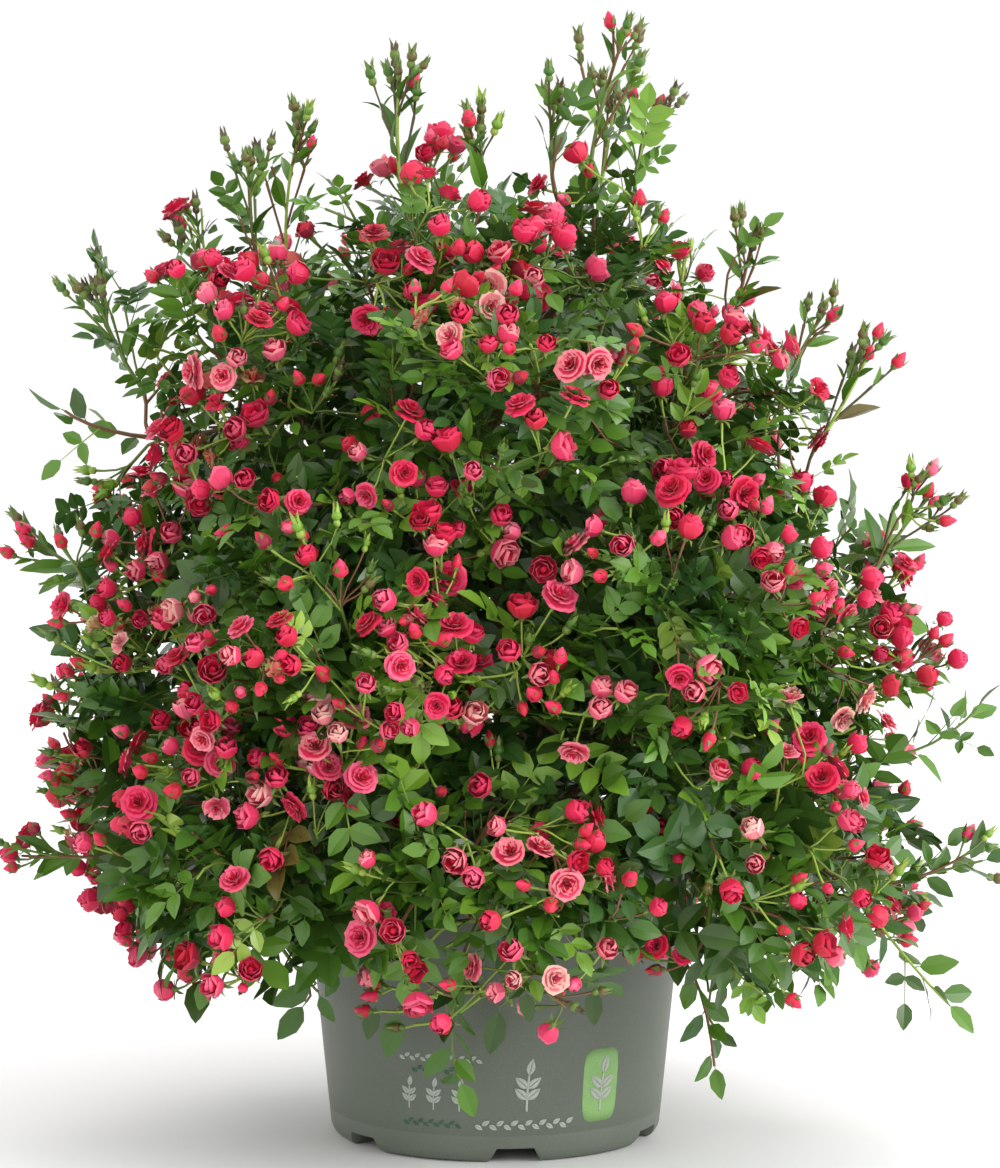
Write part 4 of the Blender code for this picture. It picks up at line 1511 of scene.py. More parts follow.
# %% Blooms, half-open blooms and buds
def open_bloom(dice, cup):
    """A double bloom of width 1; cup from 0, flat, to 2, deep."""
    shape = Shape()
    lift = 22 * cup
    add_lathe(shape, GREEN, (0.0, 0.05, 0.13), (0.035, 0.10, 0.12))
    add_sepals(shape, 0.10, 0.11, 0.34, (12, -45), dice, 0.05)
    outer = dict(foot=0.06, length=0.49, columns=4, ruffle=0.025, cut=0.09)
    add_whorl(shape, OUTER, 5, dice, half=45, rises=(30 + lift, -42 + lift), base=0.12, first=0.0, **outer)
    add_whorl(shape, OUTER, 5, dice, half=44, rises=(52 + lift, -14 + lift), base=0.13, first=36.0, **outer)
    inner = dict(foot=0.05, columns=2)
    add_whorl(shape, INNER, 5, dice, half=42, length=0.46, rises=(70 + lift / 2, 14 + lift), base=0.13,
              spin=0.02, **inner)
    add_whorl(shape, INNER, 4, dice, half=50, length=0.42, rises=(84, 58), base=0.14, spin=0.03, **inner)
    add_whorl(shape, INNER, 3, dice, half=62, length=0.39, rises=(88, 98), base=0.14, rows=2, spin=0.03,
              **inner)
    return shape


def half_bloom(dice, closing):
    """A bloom of width 1 whose petals still stand up in a cup; closing is the slope at their rims."""
    shape = Shape()
    add_lathe(shape, GREEN, (0.0, 0.06, 0.16), (0.05, 0.14, 0.16))
    add_sepals(shape, 0.13, 0.13, 0.60, (-5, -40), dice, 0.08)
    add_whorl(shape, OUTER, 5, dice, half=44, foot=0.10, length=0.98, rises=(14, closing), base=0.13,
              wobble=5, rows=4, columns=2, ruffle=0.02)
    inner = dict(length=1.02, wobble=6, columns=2, ruffle=0.03)
    add_whorl(shape, INNER, 4, dice, half=54, foot=0.08, rises=(28, closing + 10), base=0.15, spin=0.05,
              **inner)
    add_whorl(shape, INNER, 3, dice, half=62, foot=0.06, rises=(48, closing + 4), base=0.17, spin=0.06,
              **inner)
    add_lathe(shape, OUTER, (0.3, 0.6, 0.78, 0.86), (0.14, 0.17, 0.12, 0.02), 5, 1.5)
    return shape


def colour_bud(dice, plump):
    """A pointed bud of length 1 that shows its colour."""
    shape = Shape()
    add_lathe(shape, GREEN, (0.0, 0.07, 0.2), (0.06, 0.15, 0.17))
    add_lathe(shape, OUTER, (0.17, 0.32, 0.50, 0.72), (0.17, plump, plump, plump * 0.68), 7, 0.5)
    add_lathe(shape, RIM, (0.72, 0.88, 1.0), (plump * 0.68, plump * 0.36, 0.01), 7, 0.5)
    add_sepals(shape, 0.17, 0.17, 0.66, (72, 74), dice, 0.12)
    return shape


def green_bud(dice, plump, spread):
    """An unopened bud: a hip, a neck, and a pointed body in sepals whose tips run on past it."""
    shape = Shape()
    add_lathe(shape, GREEN, (0.0, 0.08, 0.20, 0.28), (0.06, 0.15, 0.16, 0.12), 6)
    body = (0.12, plump, plump * 0.95, plump * 0.5, 0.02)
    add_lathe(shape, SHEATH, (0.28, 0.40, 0.54, 0.68, 0.78), body, 6)
    add_sepals(shape, plump * 0.7, 0.50, 0.56, (92, 88 - spread), dice, 0.07)
    return shape


def spent_bloom(dice):
    """A bloom that is going over: short crumpled petals in a loose head."""
    shape = Shape()
    add_lathe(shape, GREEN, (0.0, 0.05, 0.13), (0.04, 0.12, 0.14))
    add_sepals(shape, 0.11, 0.12, 0.40, (0, -45), dice, 0.06)
    for count, length, rises in ((6, 0.48, (60, -10)), (6, 0.47, (72, 40)), (5, 0.44, (84, 80))):
        add_whorl(shape, OUTER, count, dice, wobble=24, half=36, foot=0.05, length=length, rises=rises,
                  base=0.12, columns=2, ruffle=0.06)
    add_whorl(shape, INNER, 4, dice, wobble=20, half=50, foot=0.04, length=0.38, rises=(86, 100),
              base=0.13, columns=2, rows=2)
    return shape


OPEN_FORMS, SPENT_FORMS = (0.4, 0.8, 1.1, 1.4, 1.7), 2
HALF_FORMS = (126, 116, 107, 97)
COLOUR_FORMS, GREEN_FORMS = (0.34, 0.29), ((0.23, 8), (0.2, 24))
shapes = {
    "open": [open_bloom(rng, form) for form in OPEN_FORMS] + [spent_bloom(rng) for _ in range(SPENT_FORMS)],
    "half": [half_bloom(rng, form) for form in HALF_FORMS],
    "bud": ([colour_bud(rng, form) for form in COLOUR_FORMS]
            + [green_bud(rng, *form) for form in GREEN_FORMS]),
}
bloom_collections = {name: shape_collection(name, made) for name, made in shapes.items()}
for name, made in shapes.items():
    print(name, "faces:", [len(shape.faces) for shape in made])

# %% [markdown]
# ## Dealing the shapes out
# A deal is a list of points, and each point says which shape goes there, how it is turned, how large it
# is and which tint it has. The Geometry Nodes tree puts the shapes on the points, makes them real, and
# then paints: one Set Material for each pair of tint and part.

# %% The tree that deals shapes
PARTS = 5
CODE_GAP = 0.1


class Deal:
    """Where the copies of a collection's shapes go."""

    def __init__(self):
        self.places, self.turns, self.sizes, self.shapes, self.tints = [], [], [], [], []

    def add(self, place, axes, size, shape, tint):
        self.places.append(tuple(place))
        self.turns.append(tuple(Matrix(axes.tolist()).to_euler()))
        self.sizes.append(float(size))
        self.shapes.append(int(shape))
        self.tints.append(int(tint))


def layer(tree, name, kind="FLOAT"):
    """What reads a named layer of numbers: its node and output."""
    node = set_values(tree.nodes.new("GeometryNodeInputNamedAttribute"), name=name)
    node.data_type = kind
    return node, "Attribute"


def paint_by_code(tree, geometry, code, palette):
    """A chain of Set Material: the first paints all, each further one the faces with its code."""
    for number, (value, material) in enumerate(palette.items()):
        coat = set_values(tree.nodes.new("GeometryNodeSetMaterial"), material=material)
        if number:
            match = tree.nodes.new("FunctionNodeCompare")
            match.data_type, match.operation = "FLOAT", "EQUAL"
            set_values(match, epsilon=CODE_GAP, b=value)
            wire(tree, (*code, match, "A"), (match, "Result", coat, "Selection"))
        wire(tree, (*geometry, coat, "Geometry"))
        geometry = (coat, "Geometry")
    return geometry


def dealing_tree(name, palette):
    """Points in, painted shapes out. The palette's key is tint * PARTS + part."""
    tree, given, result = start_geometry_tree(name, shapes="Collection", growth="Float")
    chosen, put, grown, realise, code = new_nodes(
        tree, "GeometryNodeCollectionInfo", "GeometryNodeInstanceOnPoints", "ShaderNodeMath",
        "GeometryNodeRealizeInstances", "ShaderNodeMath")
    set_values(chosen, separate_children=True)
    set_values(put, pick_instance=True)
    grown.operation, code.operation = "MULTIPLY", "MULTIPLY_ADD"
    code.inputs[1].default_value = PARTS
    wire(tree, (given, "Geometry", put, "Points"), (given, "Shapes", chosen, "Collection"),
         (chosen, "Instances", put, "Instance"), (*layer(tree, "shape", "INT"), put, "Instance Index"),
         (*layer(tree, "turn", "FLOAT_VECTOR"), put, "Rotation"), (given, "Growth", grown, 1),
         (*layer(tree, "size"), grown, 0), (grown, "Value", put, "Scale"),
         (put, "Instances", realise, "Geometry"), (*layer(tree, "tint", "INT"), code, 0),
         (*layer(tree, "part", "INT"), code, 2))
    painted = paint_by_code(tree, (realise, "Geometry"), (code, "Value"), palette)
    wire(tree, (*painted, result, "Geometry"))
    return tree


print("parts that a tint colours:", PARTS)

# %% [markdown]
# ## From a deal to a piece
# The deal's numbers become layers of a mesh that has only points. It goes through the tree, comes back
# as plain painted faces, and its layers, which nothing reads any more, are taken off.

# %% Pieces from points
def piece_from(name, points, edges, tree, layers, **values):
    """Points and edges with their layers of numbers, run through a tree; the layers go at the end."""
    mesh = bpy.data.meshes.new(name)
    mesh.from_pydata(points, edges, [])
    for label, (kind, numbers) in layers.items():
        made = mesh.attributes.new(label, kind, "POINT")
        made.data.foreach_set("vector" if kind == "FLOAT_VECTOR" else "value", np.ravel(numbers))
    piece = run_tree(new_object(name, mesh), tree, growth=1.0, **values)
    for label in (*layers, "part"):
        if label in piece.data.attributes:
            piece.data.attributes.remove(piece.data.attributes[label])
    return piece


def deal_out(name, deal, collection, palette):
    """The plain mesh piece that a deal gives."""
    layers = dict(turn=("FLOAT_VECTOR", deal.turns), size=("FLOAT", deal.sizes), shape=("INT", deal.shapes),
                  tint=("INT", deal.tints))
    return piece_from(name, deal.places, [], dealing_tree("deal_" + name, palette), layers,
                      shapes=collection)

# %% [markdown]
# ## Drawing twigs and stalks
# Wood and stalks are lines with a girth at each point. The tree turns the lines into curves, sweeps a
# small ring along them, scaled by the girth, and paints the tubes by their tint.

# %% The tree that draws tubes
class Lines:
    """Polylines with a girth at each point and a tint each."""

    def __init__(self):
        self.points, self.edges, self.girths, self.tints = [], [], [], []

    def add(self, points, girths, tint):
        base = len(self.points)
        self.points += [tuple(point) for point in points]
        self.edges += [(base + i, base + i + 1) for i in range(len(points) - 1)]
        self.girths += [float(girth) for girth in girths]
        self.tints += [int(tint)] * len(points)


def tube_tree(name, palette):
    """Edges in, painted tubes out, with as many sides as asked."""
    tree, given, result = start_geometry_tree(name, sides="Int", growth="Float")
    curve, ring, sweep, grown, realise, smooth = new_nodes(
        tree, "GeometryNodeMeshToCurve", "GeometryNodeCurvePrimitiveCircle", "GeometryNodeCurveToMesh",
        "ShaderNodeMath", "GeometryNodeRealizeInstances", "GeometryNodeSetShadeSmooth")
    set_values(ring, radius=1.0)
    set_values(sweep, fill_caps=True)
    grown.operation = "MULTIPLY"
    wire(tree, (given, "Geometry", curve, "Mesh"), (given, "Sides", ring, "Resolution"),
         (curve, "Curve", sweep, "Curve"), (ring, "Curve", sweep, "Profile Curve"),
         (*layer(tree, "girth"), grown, 0), (given, "Growth", grown, 1),
         (grown, "Value", sweep, "Scale"), (sweep, "Mesh", smooth, "Geometry"),
         (smooth, "Geometry", realise, "Geometry"))
    painted = paint_by_code(tree, (realise, "Geometry"), layer(tree, "tint", "INT"), palette)
    wire(tree, (*painted, result, "Geometry"))
    return tree


def draw_tubes(name, lines, sides, palette):
    layers = dict(girth=("FLOAT", lines.girths), tint=("INT", lines.tints))
    return piece_from(name, lines.points, lines.edges, tube_tree("tubes_" + name, palette), layers,
                      sides=sides)

# %% [markdown]
# ## Boughs and twigs
# A limb is as thick as what it carries: its girth grows with the number of shoot ends beyond it. Thick
# wood is brown, middling wood red, and young shoots are red, green or lime as the seed deals it.

# %% Wood from the skeleton
TIP_GIRTH, GIRTH_POWER, MOST_GIRTH = 0.00085, 0.31, 0.0027
HANGING_GIRTH = 0.0010
FLARE = 1.6
THICK_LOAD, BROWN_LOAD = 5, 9
BROWN, RED, LEAF_GREEN, LIME = range(4)
TWIG_SHARES = (0.34, 0.4, 0.26)
wood_names = ("stalk_brown", "stalk_red", "stalk_green", "stalk_lime")
wood_palette = {number: materials[name] for number, name in enumerate(wood_names)}


def pick(choices, shares=None):
    """One of the choices, or a number below choices, by their shares."""
    return int(rng.choice(choices, p=shares))


def wood_lines():
    """Thick and thin wood as lines."""
    thick, thin = Lines(), Lines()
    for kind, line in wood.shoots:
        loads = np.maximum(wood.load[line], 1)
        loads[0] = min(loads[0], loads[1] * FLARE)
        girths = np.minimum(TIP_GIRTH * loads ** GIRTH_POWER, MOST_GIRTH)
        points = wood.place[line]
        if kind == "hanging":
            thin.add(points, np.maximum(girths, HANGING_GIRTH), LIME)
        elif kind == "bough" or loads[1] > THICK_LOAD:
            thick.add(points, girths, BROWN if loads[1] > BROWN_LOAD else RED)
        else:
            thin.add(points, girths, pick((RED, LEAF_GREEN, LIME), TWIG_SHARES))
    return thick, thin


thick, thin = wood_lines()
finish_piece(draw_tubes("boughs", thick, 6, wood_palette))
finish_piece(draw_tubes("twigs", thin, 4, wood_palette))

# %% [markdown]
# ## Leaves on the shoots
# A leaf leaves its shoot at a lean and turns its upper side to the light, up and outwards. It may not
# stick out of the foliage's bounds, so one that would is made smaller or left out.

# %% A leaf on a shoot
MOST_OUTSIDE = 0.007
TO_THE_SKY, TO_THE_SIDE, LEAF_WANDER = 0.62, 0.58, 0.36
SMALLER, LEAF_REACH = 0.72, 0.95
HIGHEST = cad_box[1][2] - 0.004


def any_angle(low, high):
    """An angle between two given in degrees."""
    return math.radians(rng.uniform(low, high))


def point_on(line, back):
    """The place and heading at a distance back from a line's end."""
    places = wood.place[line]
    steps = norm(np.diff(places, axis=0), axis=1)
    from_end = np.concatenate(([0.0], np.cumsum(steps[::-1])))
    back = min(back, from_end[-1] * 0.98)
    reversed_places = places[::-1]
    number = min(int(np.searchsorted(from_end, back, side="right")) - 1, len(steps) - 1)
    share = (back - from_end[number]) / max(from_end[number + 1] - from_end[number], 1e-9)
    place = reversed_places[number] * (1 - share) + reversed_places[number + 1] * share
    return place, unit(reversed_places[number] - reversed_places[number + 1])


def line_length(line):
    return float(norm(np.diff(wood.place[line], axis=0), axis=1).sum())


def side_way(heading, turn, lean):
    """A direction that leaves a heading at a lean, at a turn round it."""
    axes = frame_of(heading, UP if abs(heading[2]) < 0.95 else (1.0, 0.0, 0.0))
    side = math.cos(turn) * axes[:, 1] + math.sin(turn) * axes[:, 2]
    return math.cos(lean) * heading + math.sin(lean) * side


def outside_by(point):
    """How far a point is outside the plant's solids; above the highest one counts as far."""
    return 1.0 if point[2] > HIGHEST else -depth_in(plant_tree, point)


def add_leaf(deal, place, forward, length, shape, tint, out, most=MOST_OUTSIDE, rise=TO_THE_SKY):
    """A leaf with its upper side towards the light; past the bounds it is made smaller or left out."""
    upper = rise * UP + TO_THE_SIDE * out + rng.normal(0, LEAF_WANDER, 3)
    if abs(unit(upper) @ forward) > 0.93:
        upper = upper + 0.6 * UP + 0.1
    for size in (length, length * SMALLER):
        if outside_by(place + forward * size * LEAF_REACH) < most:
            return deal.add(place, frame_of(forward, upper), size, shape, tint)


print("a leaf may reach", MOST_OUTSIDE / MM, "mm past the masses")

# %% [markdown]
# ## Leaves along the shoots
# Leaves stand along a shoot's outer part, each turned on from the last by the golden angle, largest low
# down and smallest near the top. Most of a shoot's leaves share its tint, which is darker deep in the
# crown as painted shade and lighter near its outside as painted light. They are few before the pot's wall
# and at the flanks, where wall and sky show through.

# %% Dressing the shoots
LEAF_PITCH = 0.0125
LEAF_LENGTHS = (0.069, 0.046)
LONG_BELOW, SHORTEN_OVER = 0.15, 0.40
LEAFY_LENGTH = 0.085
GOLDEN, TURN_WANDER = math.radians(137.5), 0.25
LEAF_LEANS, END_LEAF, END_LEAN, LEAN_OUT = (38, 68), 0.004, math.radians(12), 0.12
LENGTH_SPREAD, PITCH_SPREAD = (0.72, 1.12), (0.8, 1.35)
LEAF_PALETTE = (
    ("leaf_deep", "stalk_green"), ("leaf_dark", "stalk_green"), ("leaf_blue", "stalk_green"),
    ("leaf_mid", "stalk_green"), ("leaf_mid", "stalk_lime"), ("leaf_bright", "stalk_lime"),
    ("leaf_young", "stalk_lime"), ("leaf_bronze", "stalk_red"),
)
SHADE_SHARES = (0.34, 0.26, 0.22, 0.12, 0.04, 0.02, 0.0, 0.0)
LIGHT_SHARES = (0.12, 0.22, 0.18, 0.24, 0.11, 0.09, 0.03, 0.01)
LIGHTEST_OUTLINE = 3
LIT_DEPTH, OWN_TINT = 0.035, 0.75
BARE_BELOW_BLOOMS, BARE_TIP = 0.016, 0.002
LEAF_GROUPS = {"skirt": ("skirt_",), "belt": ("belt_",), "upper": ("shoulder_", "top_")}
BELT_FROM, UPPER_FROM = 0.262, 0.405
BEFORE_WALL, WALL_HALF, WALL_SEEN_BELOW = -0.08, 0.12, 0.114
GAP_LEFT, GAP_RIGHT, GAP_BELOW = -0.058, 0.036, 0.158
LOW_EDGE = ((0.04, 0.08), (0.128, 0.150))
AIRY_LOW, AIRY_HIGH, AIRY_CHANGE = 0.200, 0.135, 0.42
WALL_KEEPS, LOW_KEEPS, SIDE_KEEPS = 0.22, 0.42, 0.55


def leaf_length(height):
    low, high = LEAF_LENGTHS
    return low + (high - low) * min(max((height - LONG_BELOW) / SHORTEN_OVER, 0.0), 1.0)


def group_of(point):
    """The name of the leaf piece for a place: by the height of the masses round it."""
    if point[2] > UPPER_FROM:
        return "upper"
    return "belt" if point[2] > BELT_FROM else "skirt"


def leaf_stays(place, forward, length):
    """Leaves are few in front of the pot's wall and where the crown's sides and foot run out airily."""
    x, y, z = place + forward * length
    hides_wall = abs(x) < WALL_HALF and z < WALL_SEEN_BELOW or GAP_LEFT < x < GAP_RIGHT and z < GAP_BELOW
    if y < BEFORE_WALL and hides_wall:
        return rng.random() < WALL_KEEPS
    if z < np.interp(x, *LOW_EDGE):
        return rng.random() < LOW_KEEPS
    if abs(x) > (AIRY_LOW if z < AIRY_CHANGE else AIRY_HIGH):
        return rng.random() < SIDE_KEEPS
    return True


def dress_shoot(tip, deals):
    """Leaves from the shoot's end backwards."""
    line, turn = tip["line"], rng.uniform(0, math.tau)
    out, is_outline = outward(tip["place"]), tip["kind"] == "outline"
    # Shoots near the crown's outside get the lighter tints and those deep in it the darker ones: painted
    # light and shade.
    shares = LIGHT_SHARES if tip["depth"] < LIT_DEPTH else SHADE_SHARES
    tint = pick(len(LEAF_PALETTE), shares)
    tint = min(tint, LIGHTEST_OUTLINE) if is_outline else tint
    back = BARE_BELOW_BLOOMS if tip["blooms"] else BARE_TIP
    while back < min(line_length(line), LEAFY_LENGTH):
        place, heading = point_on(line, back)
        lean = any_angle(*LEAF_LEANS) if back > END_LEAF else END_LEAN
        forward = unit(side_way(heading, turn, lean) + LEAN_OUT * out)
        length = leaf_length(place[2]) * rng.uniform(*LENGTH_SPREAD)
        shape = pick(BRACT, LEAF_FORM_SHARES)
        own = tint if rng.random() < OWN_TINT else pick(len(LEAF_PALETTE), shares)
        if leaf_stays(place, forward, length) or is_outline:
            add_leaf(deals[group_of(place)], place, forward, length, shape, own, out,
                     OUTLINE_OUTSIDE if is_outline else MOST_OUTSIDE)
        turn += GOLDEN + rng.normal(0, TURN_WANDER)
        back += LEAF_PITCH * rng.uniform(*PITCH_SPREAD)


leaf_deals = {group: Deal() for group in (*LEAF_GROUPS, "spray")}
for tip in tips:
    dress_shoot(tip, leaf_deals)
print("leaves:", {group: len(deal.places) for group, deal in leaf_deals.items()})

# %% [markdown]
# ## Blooms by kind and colour
# A cluster holds blooms at several ages, from green buds to spent ones, and its kind says how many of
# each. Each bloom has a tint: a colour for its outer and inner petals and for its rims.

# %% Kinds, mixes and tints
FLOWER_SIZES = {
    "open": (0.0160, 0.0230), "spent": (0.0160, 0.0205), "half": (0.0108, 0.0158),
    "colour": (0.0110, 0.0150), "green": (0.0125, 0.0180),
}
MIXES = {
    "open": (0.40, 0.36, 0.16, 0.06, 0.02), "half": (0.09, 0.55, 0.25, 0.11, 0.0),
    "pale": (0.20, 0.60, 0.13, 0.07, 0.0), "spent": (0.18, 0.22, 0.06, 0.06, 0.48),
    "bud": (0.0, 0.06, 0.36, 0.58, 0.0),
}
FLOWER_ORDER = ("open", "half", "colour", "green", "spent")
FLOWER_PALETTE = (
    ("petal_hot", "petal_crimson", "petal_rose"), ("petal_rose", "petal_hot", "petal_pink"),
    ("petal_crimson", "petal_red", "petal_hot"), ("petal_rose", "petal_crimson", "petal_pale"),
    ("petal_red", "petal_deep", "petal_crimson"), ("petal_pink", "petal_hot", "petal_pale"),
    ("petal_pale", "petal_pink", "petal_blush"), ("petal_salmon", "petal_rose", "petal_spent"),
    ("petal_spent", "petal_salmon", "petal_cream"), ("petal_deep", "petal_red", "petal_red"),
)
FLOWER_GREENS = ("stalk_green", "leaf_mid")
BUD_GREENS = (("stalk_lime", "leaf_bright"), ("stalk_green", "leaf_dark"), ("stalk_brown", "stalk_green"),
              ("stalk_green", "leaf_bronze"))
FRESH_SHARES = (0.35, 0.25, 0.17, 0.08, 0.06, 0.06, 0.01, 0.0, 0.0, 0.02)
PALE_SHARES = (0.06, 0.16, 0.0, 0.10, 0.0, 0.38, 0.30, 0.0, 0.0, 0.0)
BUD_SHARES = (0.14, 0.06, 0.38, 0.0, 0.24, 0.02, 0.0, 0.0, 0.0, 0.16)
SPENT_SHARES = (0.12, 0.08, 0.08, 0.0, 0.08, 0.06, 0.05, 0.35, 0.07, 0.11)
LIGHT_BUDS, DARK_BUDS = (0.45, 0.35, 0.10, 0.10), (0.08, 0.27, 0.20, 0.45)
MAIN_TINT = 0.55
FLOWER_FORMS = {
    "open": ("open", 0, len(OPEN_FORMS)), "spent": ("open", len(OPEN_FORMS), SPENT_FORMS),
    "half": ("half", 0, len(HALF_FORMS)), "colour": ("bud", 0, len(COLOUR_FORMS)),
    "green": ("bud", len(COLOUR_FORMS), len(GREEN_FORMS)),
}


def flower_tint(kind, shares, main=None):
    """A tint for one bloom: most follow their cluster's own, buds are deeper, spent ones brownish."""
    shares = {"spent": SPENT_SHARES, "colour": BUD_SHARES}.get(kind, shares)
    if main is not None and kind not in ("spent", "colour") and rng.random() < MAIN_TINT:
        return main
    return pick(len(FLOWER_PALETTE), shares)


print("tints of petals:", len(FLOWER_PALETTE), "of green buds:", len(BUD_GREENS))

# %% [markdown]
# ## A record of the blooms
# Where every bloom sits is kept, with its radius, so that the next one can be kept clear of it. Its
# stalk is a short smooth curve that thickens under the bloom.

# %% The blooms so far
STALK_GIRTH = 0.00078
STALK_PULL, STALK_TAPER = 0.8, (1.15, 1.0, 1.0, 1.3)
TOUCH = 0.84
BLOOM_MIDDLE, BLOOM_RADIUS, BUD_RADIUS = 0.34, 0.5, 0.32


def bloom_radius(kind, size):
    return size * (BLOOM_RADIUS if kind in ("open", "half", "spent") else BUD_RADIUS)


class Flowers:
    """All the blooms and buds placed so far, with their stalks."""

    def __init__(self, room=8000):
        self.deals = {name: Deal() for name in shapes}
        self.stalks = Lines()
        self.middles = np.full((room, 3), 9.0)
        self.radii = np.zeros(room)
        self.count = 0
        self.green_shares = LIGHT_BUDS

    def is_free(self, middle, radius):
        gaps = norm(self.middles[:self.count] - middle, axis=1)
        return bool((gaps > TOUCH * (self.radii[:self.count] + radius)).all())

    def add(self, kind, foot, axis, size, tint):
        """A bloom of a kind, its calyx at foot, looking along axis."""
        self.middles[self.count] = foot + axis * size * BLOOM_MIDDLE
        self.radii[self.count] = bloom_radius(kind, size)
        self.count += 1
        along = unit(side_way(axis, rng.uniform(0, math.tau), math.pi / 2))
        group, first, forms = FLOWER_FORMS[kind]
        form = first + rng.integers(forms)
        if kind == "green":
            tint = len(FLOWER_PALETTE) + pick(len(BUD_GREENS), self.green_shares)
        axes = np.column_stack((along, np.cross(axis, along), axis))
        self.deals[group].add(foot, axes, size, form, tint)

    def add_stalk(self, start, leave, foot, arrive, tint, girth=STALK_GIRTH):
        pull = STALK_PULL * norm(foot - start)
        points = [curve_point(t, start, leave, foot, arrive, pull) for t in (0.0, 0.36, 0.7, 1.0)]
        self.stalks.add(points, [girth * share for share in STALK_TAPER], tint)


flowers = Flowers()
print("blooms may come as near as", TOUCH, "of their radii")

# %% [markdown]
# ## Blooms in clusters
# The flower stalks of a cluster leave the shoot close together and fan out to a loose dome. Each bears
# one bloom or bud, which looks along its stalk and a little towards the light. Blooms don't run into
# each other: a stalk whose bloom would touch one that is there already takes another direction.

# %% Placing clusters
FAN = math.radians(66)
STALK_REACH = (0.013, 0.031)
MOST_BLOOM_OUTSIDE = 0.007
ATTEMPTS, WIDER_FAN, LONGER_STALK = 26, 0.02, 0.025
BELOW_END, STALK_OUT, STALK_SHARES = 0.005, 0.15, (0.58, 0.30, 0.12)
LOOK_ALONG, LOOK_UP, LOOK_OUT, LOOK_ASTRAY = 0.8, 0.28, 0.22, 0.14


def add_cluster(flowers, tip):
    """A fan of stalks with blooms at a shoot's end; returns how many found room."""
    start, heading = point_on(tip["line"], BELOW_END)
    shares = {"pale": PALE_SHARES, "spent": SPENT_SHARES}.get(tip["kind"], FRESH_SHARES)
    main = pick(len(FLOWER_PALETTE), shares)
    out = outward(tip["place"])
    stalk_tint = pick((LIME, LEAF_GREEN, RED), STALK_SHARES)
    placed = 0
    for _ in range(tip["blooms"]):
        kind = str(rng.choice(FLOWER_ORDER, p=MIXES[tip["kind"]]))
        size = rng.uniform(*FLOWER_SIZES[kind])
        for attempt in range(ATTEMPTS):
            lean = FAN * math.sqrt(rng.random()) * (1 + WIDER_FAN * attempt)
            way = unit(side_way(heading, rng.uniform(0, math.tau), lean) + STALK_OUT * out)
            foot = start + way * (rng.uniform(*STALK_REACH) * (1 + LONGER_STALK * attempt))
            axis = LOOK_ALONG * way + LOOK_UP * UP + LOOK_OUT * out
            axis = unit(axis + rng.normal(0, LOOK_ASTRAY, 3))
            middle = foot + axis * size * BLOOM_MIDDLE
            has_room = flowers.is_free(middle, bloom_radius(kind, size))
            if outside_by(middle) > MOST_BLOOM_OUTSIDE or not has_room:
                continue
            flowers.add(kind, foot, axis, size, flower_tint(kind, shares, main))
            flowers.add_stalk(start, unit(heading + 0.5 * way), foot, axis, stalk_tint)
            placed += 1
            break
    return placed


wanted = sum(tip["blooms"] for tip in tips)
found = sum(add_cluster(flowers, tip) for tip in tips if tip["blooms"])
print(f"blooms and buds in clusters: {found} of {wanted}")

# %% [markdown]
# ## Groups of buds
# On the long sprays, buds stand in groups of one to three on short stalks, with narrow bracts round
# them. Which kinds stand there goes by a mix: most sprays bear green buds, those at the flanks more
# coloured ones, and the shoots before the pot pale half-open blooms.

# %% Buds from one node
MOST_SPRAY_OUTSIDE = 0.015
BUD_FAN, FIRST_BUD, BUD_REACHES = (12, 36), math.radians(4), (0.65, 1.2)
BUD_MIDDLE, BUD_ROOM = 0.5, 0.24
BRACTS, BRACT_TURN, BRACT_GAP, BRACT_LEANS = 2, 1.2, 2.6, (25, 55)
BRACT_SIZES, BRACT_LOOKS = (0.011, 0.019), ((1, 3, 4), (0.4, 0.4, 0.2))
HANGING_MIX = (("green", 0.15), ("colour", 0.50), ("half", 0.35))
BLOOM_MIX = (("green", 0.20), ("colour", 0.35), ("half", 0.30), ("open", 0.15))
TINTED_MIX = (("green", 0.45), ("colour", 0.45), ("half", 0.10))
BUD_MIX = (("green", 0.91), ("colour", 0.09))
SPRAY_MIXES = {
    "spray_right_belt": BLOOM_MIX, "pad_left_low": BLOOM_MIX, "spray_back_left": BLOOM_MIX,
    "spray_left_edge": TINTED_MIX, "spray_right_edge": TINTED_MIX, "spray_right_side": TINTED_MIX,
}


def facing(place):
    """Out of the plant, but more to the front or back than to the sides."""
    return unit(outward(place) + (0.0, -1.2 if place[1] < 0.04 else 1.2, 0.0))


def add_bud_group(flowers, leaves, fork, way, count, reach, tint, mix, most=MOST_SPRAY_OUTSIDE,
                  shares=FRESH_SHARES):
    """Buds that rise together from one node, with narrow bracts round it."""
    turn = rng.uniform(0, math.tau)
    for number in range(count):
        kind = str(rng.choice([name for name, _ in mix], p=[share for _, share in mix]))
        size = rng.uniform(*FLOWER_SIZES[kind])
        fan = side_way(way, turn + number * GOLDEN, any_angle(*BUD_FAN) if number else FIRST_BUD)
        foot = fork + fan * reach * rng.uniform(*BUD_REACHES)
        axis = unit(fan + 0.25 * UP)
        middle = foot + axis * size * BUD_MIDDLE
        if outside_by(middle) > most or not flowers.is_free(middle, size * BUD_ROOM):
            continue
        flowers.add(kind, foot, axis, size, flower_tint(kind, shares))
        flowers.add_stalk(fork, unit(way + 0.6 * fan), foot, axis, tint, STALK_GIRTH * 0.95)
    for number in range(BRACTS):
        forward = side_way(way, turn + BRACT_TURN + BRACT_GAP * number, any_angle(*BRACT_LEANS))
        look = pick(*BRACT_LOOKS)
        add_leaf(leaves, fork, forward, rng.uniform(*BRACT_SIZES), BRACT, look, facing(fork),
                 MOST_SPRAY_OUTSIDE)


flowers.green_shares = DARK_BUDS
print("mixes:", len(SPRAY_MIXES), "of their own; the others", dict(BUD_MIX))

